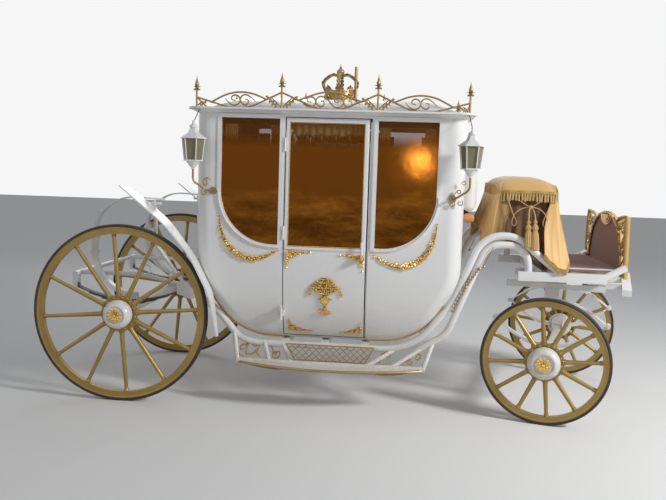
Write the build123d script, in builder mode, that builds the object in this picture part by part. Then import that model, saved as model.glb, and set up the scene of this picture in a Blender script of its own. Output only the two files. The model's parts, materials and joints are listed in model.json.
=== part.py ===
from build123d import *
import os
from math import cos, pi, radians, sin, sqrt

os.makedirs("parts", exist_ok=True)

# A closed coach on a frame of bent tubes, drawn by horses. Millimetres, +X forward, +Z up.
# Heights are from the ground. Distances along the coach are from the rear axle,
# and rear_axle_x carries them into the frame whose origin is below the middle of the whole.

# Running gear
wheelbase = 3000.0
rear_wheel_d = 1200.0
front_wheel_d = 830.0
half_track = 712.0
tyre_width = 42.0
tyre_depth = 18.0
tyre_edge = 6.0
rear_rim_depth = 46.0
front_rim_depth = 38.0
rim_width = 38.0
spoke_count = 12
spoke_root_d = 34.0
spoke_tip_d = 24.0
hub_d = 150.0
hub_length = 150.0
hub_cap_reach = 66.0
hub_cap_rear = 32.0
rear_cap_d = 190.0
front_cap_d = 206.0
flange_d = 250.0
flange_thick = 8.0
axle_d = 45.0
axle_play = 0.05
fore_turn = -14.8
splinter_bar_front = 3500.0
splinter_bar_half = 520.0
pole_pin_d = 25.0

# The turned splinter bar's left end is the foremost point, and the rear tyres the last one
front_reach = (
    wheelbase
    + (splinter_bar_front - wheelbase) * cos(radians(fore_turn))
    - splinter_bar_half * sin(radians(fore_turn))
)
rear_axle_x = (rear_wheel_d / 2 - front_reach) / 2

# Coach body
body_rear = 480.0
body_front = 2265.0
body_bottom = 443.0
body_top = 1956.0
body_half_width = 650.0
belt_height = 1000.0
sill_half_width = 500.0
wall = 24.0
edge_round = 105.0
floor_half_width = 380.0
joint_gap = 0.3

# Doors and windows
door_rear = 1085.0
door_front = 1650.0
door_bottom = 470.0
door_top = 1940.0
door_gap = 6.0
door_front_gap = 16.0
window_top = 1926.0
window_bottom = 1100.0
window_corner = 345.0
glass_thick = 6.0
moulding_width = 26.0
moulding_proud = 7.0
hinge_reach = 8.0
hinge_r = 8.0
hinge_pin_r = 4.0
hinge_play = 0.08
hinge_length = 30.0

# Roof
roof_plate_z = 1976.0
roof_plate_thick = 12.0
roof_overhang_side = 80.0
roof_overhang_end = 48.0
roof_crest = 2092.0
roof_corner = 110.0
dome_inset_end = 80.0
dome_inset_side = 155.0
dome_corner = 60.0
gallery_rod = 12.0
gallery_inset = 130.0
finial_height = 190.0

# Frame
rail_d = 48.0
rail_y = 545.0
rail_z = 410.0
beam_depth = 62.0
beam_width = 50.0
beam_z = 951.0
bearer_width = 50.0

# Springs
leaf_width = 50.0
rear_leaf = 8.0
eye_r = 17.0
eye_pin_r = 9.0


def ahead(distance):
    """Place along X of a distance ahead of the rear axle."""
    return rear_axle_x + distance


def side_plane(y):
    """Upright plane along the coach: local x is the distance ahead of the rear axle, local y the height."""
    return Plane(origin=(rear_axle_x, y, 0), x_dir=(1, 0, 0), z_dir=(0, -1, 0))


def cross_plane(distance):
    """Upright plane across the coach: local x is +Y, local y the height, and its normal looks ahead."""
    return Plane(origin=(ahead(distance), 0, 0), x_dir=(0, 1, 0), z_dir=(1, 0, 0))


def level_plane(z):
    """Level plane whose local x is the distance ahead of the rear axle."""
    return Plane(origin=(rear_axle_x, 0, z))


def tube(corners, radii, diameter):
    """Round bar along a path of straight runs and tangent arcs, corners as (ahead, y, z)."""
    points = [(ahead(x), y, z) for x, y, z in corners]
    with BuildLine() as path:
        if len(points) > 2:
            FilletPolyline(*points, radius=radii)
        else:
            Line(*points)
    start = path.line @ 0
    with BuildSketch(Plane(origin=start, z_dir=path.line % 0)) as section:
        Circle(diameter / 2)
    sweep(sections=section.sketch, path=path.line)


def strip_face(corners, radii, thickness):
    """Flat bar seen edge on: a path of runs and arcs given a thickness to its left, or right below zero."""
    with BuildLine() as edge:
        FilletPolyline(*corners, radius=radii)
        offset(amount=abs(thickness), side=Side.LEFT if thickness > 0 else Side.RIGHT)
    make_face(edge.edges())


def block(x0, x1, y0, y1, z0, z1, mode=Mode.ADD):
    """Plain block between distances ahead, widths and heights."""
    with Locations((ahead((x0 + x1) / 2), (y0 + y1) / 2, (z0 + z1) / 2)):
        Box(x1 - x0, y1 - y0, z1 - z0, mode=mode)


def save(part, name):
    """Name a finished piece and write it."""
    part.label = name
    export_step(part, f"parts/{name}.step")


def other_side(part):
    """The same piece on the left side."""
    return mirror(part, about=Plane.XZ, mode=Mode.PRIVATE)


def steered(part):
    """A piece of the fore carriage, turned about the kingpin as the coach stands."""
    kingpin = Axis((ahead(wheelbase), 0, 0), (0, 0, 1))
    return part.rotate(kingpin, fore_turn)


# Coach body


def coach_form(inset):
    """Outer form of the body drawn in by inset: side outline crossed with the turned-under section."""
    top = body_top + 2 * inset
    with BuildPart() as form:
        with BuildSketch(side_plane(0)):
            with BuildLine():
                FilletPolyline(
                    (body_rear, top),
                    (body_rear, 900),
                    (770, body_bottom),
                    (1990, body_bottom),
                    (body_front, 880),
                    (body_front, top),
                    radius=[600, 450, 450, 400],
                )
                Line((body_front, top), (body_rear, top))
            make_face()
            if inset:
                offset(amount=-inset, kind=Kind.INTERSECTION)
        extrude(amount=body_half_width + 50, both=True)
        with BuildSketch(cross_plane((body_rear + body_front) / 2)):
            with BuildLine():
                Line((body_half_width, top), (body_half_width, belt_height))
                TangentArc(
                    (body_half_width, belt_height),
                    (sill_half_width, body_bottom - 10),
                    tangent=(0, -1),
                )
                Line((sill_half_width, body_bottom - 10), (0, body_bottom - 10))
                Line((0, body_bottom - 10), (0, top))
                Line((0, top), (body_half_width, top))
            make_face()
            mirror(about=Plane.YZ)
            if inset:
                offset(amount=-inset, kind=Kind.INTERSECTION)
        extrude(amount=1200, both=True, mode=Mode.INTERSECT)
        rim = [
            edge
            for edge in form.edges()
            if edge.center().Z < body_top - 1
            and abs(edge.tangent_at(0.5).Y) < 0.9
            and abs(edge.center().Y) > 200
            and not (
                abs(edge.center().Z - belt_height) < 1
                and abs(edge.tangent_at(0.5).X) > 0.9
            )
        ]
        fillet(rim, radius=edge_round - inset)
    return form.part


def window_outline(rear, front, curved_end):
    """Quarter window: a rectangle whose lower outer corner is one large arc."""
    corner_x = rear if curved_end == "rear" else front
    with BuildSketch(mode=Mode.PRIVATE) as outline:
        with Locations(((rear + front) / 2, (window_top + window_bottom) / 2)):
            Rectangle(front - rear, window_top - window_bottom)
        corner = outline.vertices().sort_by_distance((corner_x, window_bottom, 0))[0]
        fillet(corner, radius=window_corner)
    return outline.sketch


# Rear edge, front edge and the end that curves, of each quarter window
quarter_windows = [(660, 1048, "rear"), (1690, 2080, "front")]
door_window = (1112, 1607, 1092, 1906)

hinge_heights = (640.0, 1180.0, 1760.0)
hinge_y = -body_half_width - hinge_reach


def hinge_posts():
    """Pins with a lug above and below, carried by the body at the rear edge of the door."""
    with BuildPart(mode=Mode.PRIVATE) as posts:
        for z in hinge_heights:
            skin = hinge_skin(z)
            for end in (-1, 1):
                lug_z = z + end * hinge_length
                with Locations((ahead(door_rear), hinge_y, lug_z)):
                    Cylinder(hinge_r, hinge_length - 1)
                block(
                    door_rear - 14,
                    door_rear,
                    hinge_y - 3,
                    skin,
                    lug_z - hinge_length / 2 + 0.5,
                    lug_z + hinge_length / 2 - 0.5,
                )
            with Locations((ahead(door_rear), hinge_y, z)):
                Cylinder(hinge_pin_r, 2 * hinge_length)
    return posts.part


def hinge_skin(z):
    """Place across the coach, just inside the outer skin, at a height on the right side."""
    drop = max(belt_height - z, 0)
    return -body_half_width + wall / 2 + drop * drop * (body_half_width - sill_half_width) / belt_drop**2


belt_drop = belt_height - body_bottom + 10
outer_form = coach_form(0)
inner_form = coach_form(wall)
reach = body_half_width + 60

with BuildPart() as shell:
    add(outer_form)
    add(inner_form, mode=Mode.SUBTRACT)

with BuildPart() as side_right:
    add(shell.part)
    block(0, 3000, -reach, -floor_half_width, 0, 2500, mode=Mode.INTERSECT)
    for rear, front, curved_end in quarter_windows:
        with BuildSketch(side_plane(-body_half_width - moulding_proud)):
            add(window_outline(rear, front, curved_end))
            offset(amount=moulding_width, kind=Kind.ARC)
        extrude(amount=-moulding_proud)
    for rear, front, curved_end in quarter_windows:
        with BuildSketch(side_plane(-reach)):
            add(window_outline(rear, front, curved_end))
        extrude(amount=-150, mode=Mode.SUBTRACT)
    block(door_rear, door_front, -reach, -floor_half_width, door_bottom, door_top, mode=Mode.SUBTRACT)
side_panel = side_right.part + hinge_posts()
save(side_panel, "side_right")
save(other_side(side_panel), "side_left")

with BuildPart() as quarter_glass:
    for rear, front, curved_end in quarter_windows:
        with BuildSketch(side_plane(-body_half_width + wall / 2 + glass_thick / 2)):
            add(window_outline(rear, front, curved_end))
            offset(amount=-joint_gap)
        extrude(amount=glass_thick)
save(quarter_glass.part, "quarter_glass_right")
save(other_side(quarter_glass.part), "quarter_glass_left")

window_rear, window_front, door_window_bottom, door_window_top = door_window
with BuildPart() as door:
    add(shell.part)
    block(
        door_rear + door_gap,
        door_front - door_front_gap,
        -reach,
        -floor_half_width,
        door_bottom + door_gap,
        door_top - door_gap,
        mode=Mode.INTERSECT,
    )
    with BuildSketch(side_plane(-body_half_width - moulding_proud)):
        with Locations(
            ((window_rear + window_front) / 2, (door_window_bottom + door_window_top) / 2)
        ):
            Rectangle(
                window_front - window_rear + 36, door_window_top - door_window_bottom + 36
            )
    extrude(amount=-moulding_proud)
    block(
        window_rear,
        window_front,
        -reach,
        -550,
        door_window_bottom,
        door_window_top,
        mode=Mode.SUBTRACT,
    )
    for z in hinge_heights:
        with Locations((ahead(door_rear), hinge_y, z)):
            Cylinder(hinge_r, hinge_length)
        block(door_rear, door_rear + door_gap + 12, hinge_y - 3, hinge_skin(z), z - hinge_length / 2, z + hinge_length / 2)
        with Locations((ahead(door_rear), hinge_y, z)):
            Cylinder(hinge_pin_r + hinge_play, hinge_length, mode=Mode.SUBTRACT)
    with Locations((ahead(door_front - 40), -body_half_width - 40, 1080)):
        Cylinder(9, 120)
    for handle_z in (1030, 1130):
        with BuildSketch(Plane(origin=(ahead(door_front - 40), -body_half_width - 40, handle_z), z_dir=(0, 1, 0))):
            Circle(8)
        extrude(amount=45)
save(door.part, "door_right")
save(other_side(door.part), "door_left")

with BuildPart() as door_glass:
    block(
        window_rear + joint_gap,
        window_front - joint_gap,
        -body_half_width + wall / 2 - glass_thick / 2,
        -body_half_width + wall / 2 + glass_thick / 2,
        door_window_bottom + joint_gap,
        door_window_top - joint_gap,
    )
save(door_glass.part, "door_glass_right")
save(other_side(door_glass.part), "door_glass_left")

# Middle strip of the body, in three panels that meet on slanted cuts
rear_cut = 770.0
front_cut = 1990.0
with BuildPart() as middle:
    add(shell.part)
    block(0, 3000, -floor_half_width, floor_half_width, 0, 2500, mode=Mode.INTERSECT)
with BuildPart() as floor:
    add(middle.part)
    block(rear_cut, front_cut, -reach, reach, 0, 900, mode=Mode.INTERSECT)
save(floor.part, "floor")
with BuildPart() as rear_wall:
    add(middle.part)
    block(0, rear_cut, -reach, reach, 0, 2500, mode=Mode.INTERSECT)
save(rear_wall.part, "rear_wall")
with BuildPart() as front_wall:
    add(middle.part)
    block(front_cut, 3000, -reach, reach, 0, 2500, mode=Mode.INTERSECT)
save(front_wall.part, "front_wall")

# Roof: cornice, overhanging plate and a low dome
roof_rear = body_rear - roof_overhang_end
roof_front = body_front + roof_overhang_end
roof_half = body_half_width + roof_overhang_side
roof_mid = (roof_rear + roof_front) / 2
roof_length = roof_front - roof_rear


def roof_rectangle(z, shrink, corner):
    with BuildSketch(Plane(origin=(ahead(roof_mid), 0, z))) as section:
        RectangleRounded(roof_length - 2 * shrink, 2 * roof_half - 2 * shrink, corner)
    return section.sketch


def dome_rectangle(z, shrink):
    """Level section of the dome, drawn in by shrink from its foot inside the gallery."""
    with BuildSketch(Plane(origin=(ahead(roof_mid), 0, z))) as section:
        RectangleRounded(
            roof_length - 2 * dome_inset_end - 2 * shrink,
            2 * (roof_half - dome_inset_side - shrink),
            dome_corner,
        )
    return section.sketch


plate_top = roof_plate_z + roof_plate_thick
with BuildPart() as roof:
    loft(
        sections=[
            roof_rectangle(body_top, roof_overhang_end + 6, roof_corner - 30),
            roof_rectangle(roof_plate_z, 14, roof_corner),
        ]
    )
    extrude(roof_rectangle(roof_plate_z, 0, roof_corner), amount=roof_plate_thick)
    loft(
        sections=[
            dome_rectangle(plate_top, 0),
            dome_rectangle(plate_top + 62, 120),
            dome_rectangle(roof_crest, 350),
        ]
    )
    block(620, 2125, -480, 480, body_top, plate_top + 12, mode=Mode.SUBTRACT)
save(roof.part, "roof")

# Gallery round the roof edge
gallery_y = roof_half - gallery_inset
gallery_x = [roof_rear + 43, 1045, 1678, roof_front - 43]
post_r = 7.0
corner_post = 118.0
middle_post = 150.0


def finial(x, y, height):
    """Post with a collar, two small leaves and a spear head."""
    foot = plate_top
    with Locations((ahead(x), y, foot + height / 2)):
        Cylinder(post_r, height)
    with Locations((ahead(x), y, foot + height)):
        Box(44, 8, 10)
    with Locations((ahead(x), y, foot + height + 14)):
        Cone(6, 14, 28)
    with Locations((ahead(x), y, foot + height + 53)):
        Cone(14, 1.5, 50)


def rail_bay(start, end, y, start_height, end_height):
    """Two crossing rods between posts: a sagging one, and an arch that springs from it."""
    span = end - start
    sag = [
        (start, y, plate_top + start_height),
        (start + 0.38 * span, y, plate_top + 8),
        (start + 0.62 * span, y, plate_top + 8),
        (end, y, plate_top + end_height),
    ]
    tube(sag, [250, 250], gallery_rod)
    foot = 0.165
    fall = 1 - foot / 0.38
    arch = [
        (start + foot * span, y, plate_top + 2 + fall * (start_height - 8)),
        (start + 0.5 * span, y, plate_top + 140),
        (end - foot * span, y, plate_top + 2 + fall * (end_height - 8)),
    ]
    tube(arch, [300], gallery_rod)


with BuildPart() as gallery:
    for side in (-1, 1):
        y = side * gallery_y
        rail_bay(gallery_x[0], gallery_x[1], y, 69, 112)
        rail_bay(gallery_x[1], gallery_x[2], y, 112, 112)
        rail_bay(gallery_x[2], gallery_x[3], y, 112, 69)
        for index, x in enumerate(gallery_x):
            finial(x, y, middle_post if index in (1, 2) else corner_post)
    for x in (gallery_x[0], gallery_x[3]):
        end_rail = [
            (x, -gallery_y, plate_top + 69),
            (x, -250, plate_top + 12),
            (x, 250, plate_top + 12),
            (x, gallery_y, plate_top + 69),
        ]
        tube(end_rail, [500, 500], gallery_rod)
save(gallery.part, "gallery")

# Crown on the middle of the roof
crown_x = 1374.0
crown_base = roof_crest
crown_r = 108.0
band_height = 84.0
ball_r = 26.0
staff_r = 12.0
staff_top = 262.0
arch_dip = 194.0
with BuildPart() as crown:
    with BuildSketch(Plane(origin=(ahead(crown_x), 0, crown_base))):
        Circle(crown_r)
        Circle(crown_r - 8, mode=Mode.SUBTRACT)
    extrude(amount=band_height)
    for turn in (0, 90):
        arch_plane = Plane(
            origin=(ahead(crown_x), 0, crown_base),
            x_dir=(cos(radians(turn)), sin(radians(turn)), 0),
            z_dir=(sin(radians(turn)), -cos(radians(turn)), 0),
        )
        with BuildSketch(arch_plane):
            strip_face(
                [
                    (-crown_r + 3, band_height - 4),
                    (-crown_r - 22, 150),
                    (-60, 205),
                    (0, arch_dip),
                    (60, 205),
                    (crown_r + 22, 150),
                    (crown_r - 3, band_height - 4),
                ],
                [50, 40, 30, 40, 50],
                -10,
            )
        extrude(amount=8, both=True)
    with Locations((ahead(crown_x), 0, crown_base + arch_dip + ball_r - 6)):
        Sphere(ball_r)
    with Locations((ahead(crown_x), 0, crown_base + arch_dip + 2 * ball_r + 10)):
        Cone(9, 2, 44)
    with Locations((ahead(crown_x + crown_r + staff_r - 6), 0, crown_base + staff_top / 2)):
        Cylinder(staff_r, staff_top)
save(crown.part, "crown")

# Seats inside
seat_height = 400.0
bench_depth = 430.0
cushion_thick = 110.0
bench_half = 560.0
inner_rear = body_rear + wall
inner_front = body_front - wall
bench_z = 850.0
with BuildPart() as benches:
    for x0, x1 in ((inner_rear + 60, inner_rear + 60 + bench_depth), (inner_front - 60 - bench_depth, inner_front - 60)):
        block(x0, x1, -bench_half, bench_half, bench_z, bench_z + 20)
        for y in (-300, 300):
            middle_x = (x0 + x1) / 2
            block(middle_x - 15, middle_x + 15, y - 15, y + 15, body_bottom + wall, bench_z)
    add(shell.part, mode=Mode.SUBTRACT)
save(benches.part, "benches")
with BuildPart() as cushions:
    for x0, x1 in ((inner_rear + 60, inner_rear + 60 + bench_depth), (inner_front - 60 - bench_depth, inner_front - 60)):
        block(x0, x1, -bench_half, bench_half, bench_z + 20.3, bench_z + 20.3 + cushion_thick)
save(cushions.part, "seat_cushions")

# Frame of bent tubes: one main rail each side, the lower tube and the beam under the driver
rail_bottom = rail_z - rail_d / 2
rail_rear = (412.0, 762.5)
neck_z = 1209.0
lower_neck_z = 1149.0
main_rail = [
    (rail_rear[0], -rail_y, rail_rear[1]),
    (620, -rail_y, 632),
    (810, -rail_y, rail_z),
    (1960, -rail_y, rail_z),
    (2230, -rail_y, 760),
    (2402, -rail_y, neck_z),
    (2620, -rail_y, neck_z),
    (2925, -rail_y, beam_z + 8),
]
main_rail_bends = [200, 250, 400, 500, 190, 200]
lower_rail = [
    (1985, -rail_y, rail_z - 8),
    (2190, -rail_y, 530),
    (2432, -rail_y, lower_neck_z),
    (2704, -rail_y, lower_neck_z),
    (2704, -rail_y, beam_z),
]
lower_rail_bends = [200, 130, 135]
beam_rear = 2640.0
beam_front = 3205.0
beam_tip = (3327.0, 1030.0)
gusset_x = 376.0
gusset_z = 749.0
gusset_thick = 8.0
gusset_y = rail_y + leaf_width / 2 + joint_gap
with BuildPart() as frame_right:
    tube(main_rail, main_rail_bends, rail_d)
    tube(lower_rail, lower_rail_bends, rail_d)
    block(
        beam_rear,
        beam_front,
        -rail_y - beam_width / 2,
        -rail_y + beam_width / 2,
        beam_z - beam_depth / 2,
        beam_z + beam_depth / 2,
    )
    tube([(beam_front - 20, -rail_y, beam_z), (beam_tip[0], -rail_y, beam_tip[1])], [], rail_d)
    for outer in (-gusset_y - gusset_thick, -gusset_y + leaf_width + 2 * joint_gap):
        with BuildSketch(side_plane(outer + gusset_thick)):
            with BuildLine():
                Polyline(
                    (gusset_x - 28, gusset_z - 22),
                    (gusset_x - 28, gusset_z + 60),
                    (gusset_x + 40, gusset_z + 62),
                    (480, 735),
                    (450, 690),
                    close=True,
                )
            make_face()
        extrude(amount=gusset_thick)
    plates_inner = -gusset_y + leaf_width + 2 * joint_gap + gusset_thick
    block(428, 472, -gusset_y - gusset_thick, plates_inner, 702, 742)
    with Locations(Plane(origin=(ahead(gusset_x), -rail_y, gusset_z), z_dir=(0, 1, 0))):
        Cylinder(eye_pin_r, leaf_width + 2 * gusset_thick)
save(frame_right.part, "frame_right")
save(other_side(frame_right.part), "frame_left")
both_frames = frame_right.part + other_side(frame_right.part)

# Bearers between the frames: three carry the body's floor, three the driver's end
floor_bearers = (1100, 1374, 1650)
driver_bearers = (2828, 3010, 3180)
with BuildPart() as frame_cross:
    for x in floor_bearers:
        block(x - bearer_width / 2, x + bearer_width / 2, -rail_y, rail_y, rail_bottom + 10, body_bottom)
    for x in driver_bearers:
        block(
            x - bearer_width / 2,
            x + bearer_width / 2,
            -rail_y,
            rail_y,
            beam_z - beam_depth / 2,
            beam_z + beam_depth / 2,
        )
    add(both_frames, mode=Mode.SUBTRACT)
    keep = frame_cross.solids().filter_by(lambda piece: piece.volume > 1e5)
frame_cross_part = Compound(children=list(keep))
save(frame_cross_part, "frame_cross")

# Steps below the doors
step_y = 650.0
step_z = 306.0
step_tube_d = 38.0
post_d = 30.0
tread_reach = 150.0
tread_thick = 12.0
step_rear = 790.0
step_front = 2050.0
# Where each post leaves the rail, its height there, and where it meets the step
step_posts = [
    (745, 500, 795),
    (955, 425, 1012),
    (1085, 410, 1160),
    (1853, 410, 1660),
    (2040, 430, 1825),
    (2105, 470, 2040),
]
with BuildPart() as step_right:
    tube([(step_rear, -step_y, step_z), (step_front, -step_y, step_z)], [], step_tube_d)
    for top_x, top_z, foot_x in step_posts:
        tube([(top_x, -rail_y, top_z), (foot_x, -step_y, step_z)], [], post_d)
    with BuildSketch(level_plane(step_z - tread_thick)):
        with BuildLine():
            Line((step_rear, -step_y), (step_front, -step_y))
            ThreePointArc(
                (step_front, -step_y),
                ((step_rear + step_front) / 2, -step_y - tread_reach),
                (step_rear, -step_y),
            )
        make_face()
    extrude(amount=tread_thick)
    add(frame_right.part, mode=Mode.SUBTRACT)
    main_step = step_right.solids().sort_by(SortBy.VOLUME)[-1]
save(main_step, "step_right")
save(other_side(main_step), "step_left")

# Lattice that stands on the step's tube, below the door
lattice_bar = 5.0
lattice_pitch = 46.0
lattice_hole = lattice_pitch / sqrt(2) - lattice_bar
lattice_thick = 5.0
lattice_height = 114.0
lattice_rear = 1119.0
lattice_front = 1720.0
lattice_slant = 62.0
lattice_edge = 8.0
lattice_bottom = step_z + step_tube_d / 2 + joint_gap
lattice_top = lattice_bottom + lattice_height
lattice_outline = [
    (lattice_rear, lattice_top),
    (lattice_front, lattice_top),
    (lattice_front - lattice_slant, lattice_bottom),
    (lattice_rear + lattice_slant, lattice_bottom),
]
with BuildPart() as lattice:
    with BuildSketch(side_plane(lattice_thick / 2 - step_y)):
        with BuildLine():
            Polyline(*lattice_outline, close=True)
        make_face()
        with BuildSketch(mode=Mode.PRIVATE) as holes:
            with BuildLine():
                Polyline(*lattice_outline, close=True)
            make_face()
            offset(amount=-lattice_edge, kind=Kind.INTERSECTION)
            with BuildSketch(mode=Mode.PRIVATE) as diamonds:
                middle_point = ((lattice_rear + lattice_front) / 2, (lattice_top + lattice_bottom) / 2)
                with Locations(middle_point):
                    with GridLocations(lattice_pitch, lattice_pitch, 13, 3):
                        Rectangle(lattice_hole, lattice_hole, rotation=45)
                    with GridLocations(lattice_pitch, lattice_pitch, 14, 4):
                        Rectangle(lattice_hole, lattice_hole, rotation=45)
            add(diamonds.sketch, mode=Mode.INTERSECT)
        add(holes.sketch, mode=Mode.SUBTRACT)
    extrude(amount=lattice_thick)
save(lattice.part, "lattice_right")
save(other_side(lattice.part), "lattice_left")

# Rear gear
axle_z = rear_wheel_d / 2
axle_half = 25.0
axle_beam_half = half_track - hub_length / 2 - 10
axle_end = half_track + hub_length / 2 - 12
seat_gap = 15.0
spring_y = rail_y
leaf_halves = (gusset_x - eye_r + 4, 280, 190, 110)
main_leaf_z = axle_z + axle_half + seat_gap + len(leaf_halves) * rear_leaf


def axle(distance, height, seats, seat_top, seat_half):
    """Square axle beam with round ends for the hubs and a seat under each spring."""
    along = Plane(origin=(ahead(distance), 0, height), z_dir=(0, 1, 0))
    with BuildPart(mode=Mode.PRIVATE) as beam:
        with BuildSketch(along):
            Rectangle(2 * axle_half, 2 * axle_half)
        extrude(amount=axle_beam_half, both=True)
        with BuildSketch(along):
            Circle(axle_d / 2)
        extrude(amount=axle_end, both=True)
        for y in (-seats, seats):
            block(distance - seat_half, distance + seat_half, y - 25, y + 25, height, seat_top)
    return beam.part


def leaf_pack(y, middle_x, middle_z, halves, rise, leaf, upward, bored=True):
    """Stacked leaves; the longest has eyes, and its inner face lies at middle_z and rises to them."""
    longest = halves[0]
    radius = (longest**2 + rise**2) / (2 * rise)
    for index, half in enumerate(halves):
        with BuildSketch(side_plane(y)) as section:
            with Locations((middle_x, middle_z + upward * radius)):
                Circle(radius + (index + 1) * leaf)
                Circle(radius + index * leaf, mode=Mode.SUBTRACT)
            with Locations((middle_x, middle_z)):
                Rectangle(2 * half, 1.6 * radius, mode=Mode.INTERSECT)
        extrude(section.sketch, amount=leaf_width / 2, both=True)
    for end in (-1, 1):
        eye_x = ahead(middle_x + end * (longest + eye_r - 4))
        eye = Plane(origin=(eye_x, y, middle_z + upward * rise), z_dir=(0, 1, 0))
        with Locations(eye):
            Cylinder(eye_r, leaf_width)
            if bored:
                Cylinder(eye_pin_r + joint_gap, leaf_width, mode=Mode.SUBTRACT)


rear_eye_rise = gusset_z - main_leaf_z
save(axle(0, axle_z, spring_y, axle_z + axle_half + seat_gap, 55), "rear_axle")

with BuildPart() as rear_springs:
    for y in (-spring_y, spring_y):
        leaf_pack(y, 0, main_leaf_z, leaf_halves, rear_eye_rise, rear_leaf, 1)
save(rear_springs.part, "rear_springs")

# Rear end of the frame: side bars inboard of the springs, a cross tube, and hangers for the rear eyes
side_bar_y = spring_y - leaf_width / 2 - 30
rear_bar_z = 835.0
rear_bar_x = -gusset_x
with BuildPart() as frame_rear:
    for side in (-1, 1):
        bar = [
            (rear_bar_x, side * side_bar_y, rear_bar_z),
            (60, side * side_bar_y, rear_bar_z + 4),
            (410, side * side_bar_y, gusset_z + 18),
        ]
        tube(bar, [300], 30)
        for inner in (-1, 1):
            hanger_y = side * spring_y + inner * (leaf_width / 2 + joint_gap + 4)
            block(rear_bar_x - 14, rear_bar_x + 14, hanger_y - 4, hanger_y + 4, gusset_z - 16, rear_bar_z)
        with BuildSketch(
            Plane(origin=(ahead(rear_bar_x), side * spring_y, gusset_z), z_dir=(0, 1, 0))
        ):
            Circle(eye_pin_r)
        extrude(amount=leaf_width / 2 + 2, both=True)
    hanger_reach = spring_y + leaf_width / 2 + joint_gap + 8
    tube([(rear_bar_x, -hanger_reach, rear_bar_z), (rear_bar_x, hanger_reach, rear_bar_z)], [], 36)
    add(both_frames, mode=Mode.SUBTRACT)
save(frame_rear.part, "frame_rear")

# C-springs: a long main leaf and two shorter ones inside it, held by two clamps
c_leaf = 10.0
c_back = -259.0
c_foot_z = main_leaf_z + 18
c_top_z = 1400.0
c_tip = (240.0, 1374.0)
c_bend = 300.0
with BuildPart() as c_springs:
    for y in (-spring_y, spring_y):
        for index, (foot_x, top_x) in enumerate(((60, c_tip[0]), (60, -60), (60, -180))):
            inset = index * c_leaf
            corners = [
                (foot_x, c_foot_z + inset),
                (c_back + inset, c_foot_z + inset),
                (c_back + inset, c_top_z - inset - (5 if index == 0 else 0)),
                (top_x, c_top_z - inset if index else c_tip[1]),
            ]
            radii = [c_bend - inset, c_bend - inset]
            if index == 2:
                corners = corners[:2] + [(c_back + inset, 1130)]
                radii = radii[:1]
            if index == 1:
                corners = corners[:2] + [(c_back + inset, 1130), (c_back + 60, 1280)]
                radii = [radii[0], 200]
            with BuildSketch(side_plane(y)):
                strip_face(corners, radii, -c_leaf)
            extrude(amount=leaf_width / 2, both=True)
        block(-62, 62, y - leaf_width / 2, y + leaf_width / 2, main_leaf_z, c_foot_z + 2)
        for clamp_z in (990, 1090):
            block(
                c_back - 6,
                c_back + 3 * c_leaf + 6,
                y - leaf_width / 2 - 5,
                y + leaf_width / 2 + 5,
                clamp_z - 12,
                clamp_z + 12,
            )
    add(rear_springs.part, mode=Mode.SUBTRACT)
save(c_springs.part, "c_springs")

# Body loops: a flat post under each C-spring tip, bent forward at its foot to the frame
loop_x = 178.0
loop_thick = 12.0
with BuildPart() as body_loops:
    for y in (-spring_y, spring_y):
        with BuildSketch(side_plane(y)):
            strip_face(
                [(loop_x, c_tip[1] - c_leaf - 1), (loop_x, 1057), (420, 745)], [60], loop_thick
            )
        extrude(amount=leaf_width / 2, both=True)
        block(loop_x - 30, loop_x + 42, y - 25, y + 25, 1330, 1345)
    add(c_springs.part, mode=Mode.SUBTRACT)
    add(both_frames, mode=Mode.SUBTRACT)
    add(rear_springs.part, mode=Mode.SUBTRACT)
    add(frame_rear.part, mode=Mode.SUBTRACT)
    loop_pieces = body_loops.solids().filter_by(lambda piece: piece.volume > 1e5)
save(Compound(children=list(loop_pieces)), "body_loops")

mudguard_outer = 757.0
mudguard_inner = 577.0
mudguard_inner_low = 634.0
with BuildPart() as mudguard:
    with BuildSketch(side_plane(-mudguard_outer)):
        strip_face([(0, 1455), (300, 1215), (478, 1010), (612, 750), (668, 479)], [800, 700, 500], 8)
    extrude(amount=-200)
    with BuildSketch(cross_plane(0)):
        with BuildLine():
            Polyline(
                (-mudguard_outer, 1500),
                (-mudguard_inner, 1500),
                (-mudguard_inner, 1250),
                (-mudguard_inner_low, 1060),
                (-mudguard_inner_low, 760),
                (-mudguard_outer + 40, 470),
                (-mudguard_outer, 470),
                close=True,
            )
        make_face()
    extrude(amount=1500, mode=Mode.INTERSECT)
    block(loop_x - 15, loop_x + 25, -mudguard_inner - 30, -spring_y - leaf_width / 2, 1290, 1302)
    block(608, 645, -mudguard_inner_low - 20, -rail_y, 628, 640)
    add(frame_right.part, mode=Mode.SUBTRACT)
    main_guard = mudguard.solids().sort_by(SortBy.VOLUME)[-1]
with BuildPart() as mudguards:
    add(main_guard)
    add(other_side(main_guard))
save(mudguards.part, "mudguards")

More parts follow.
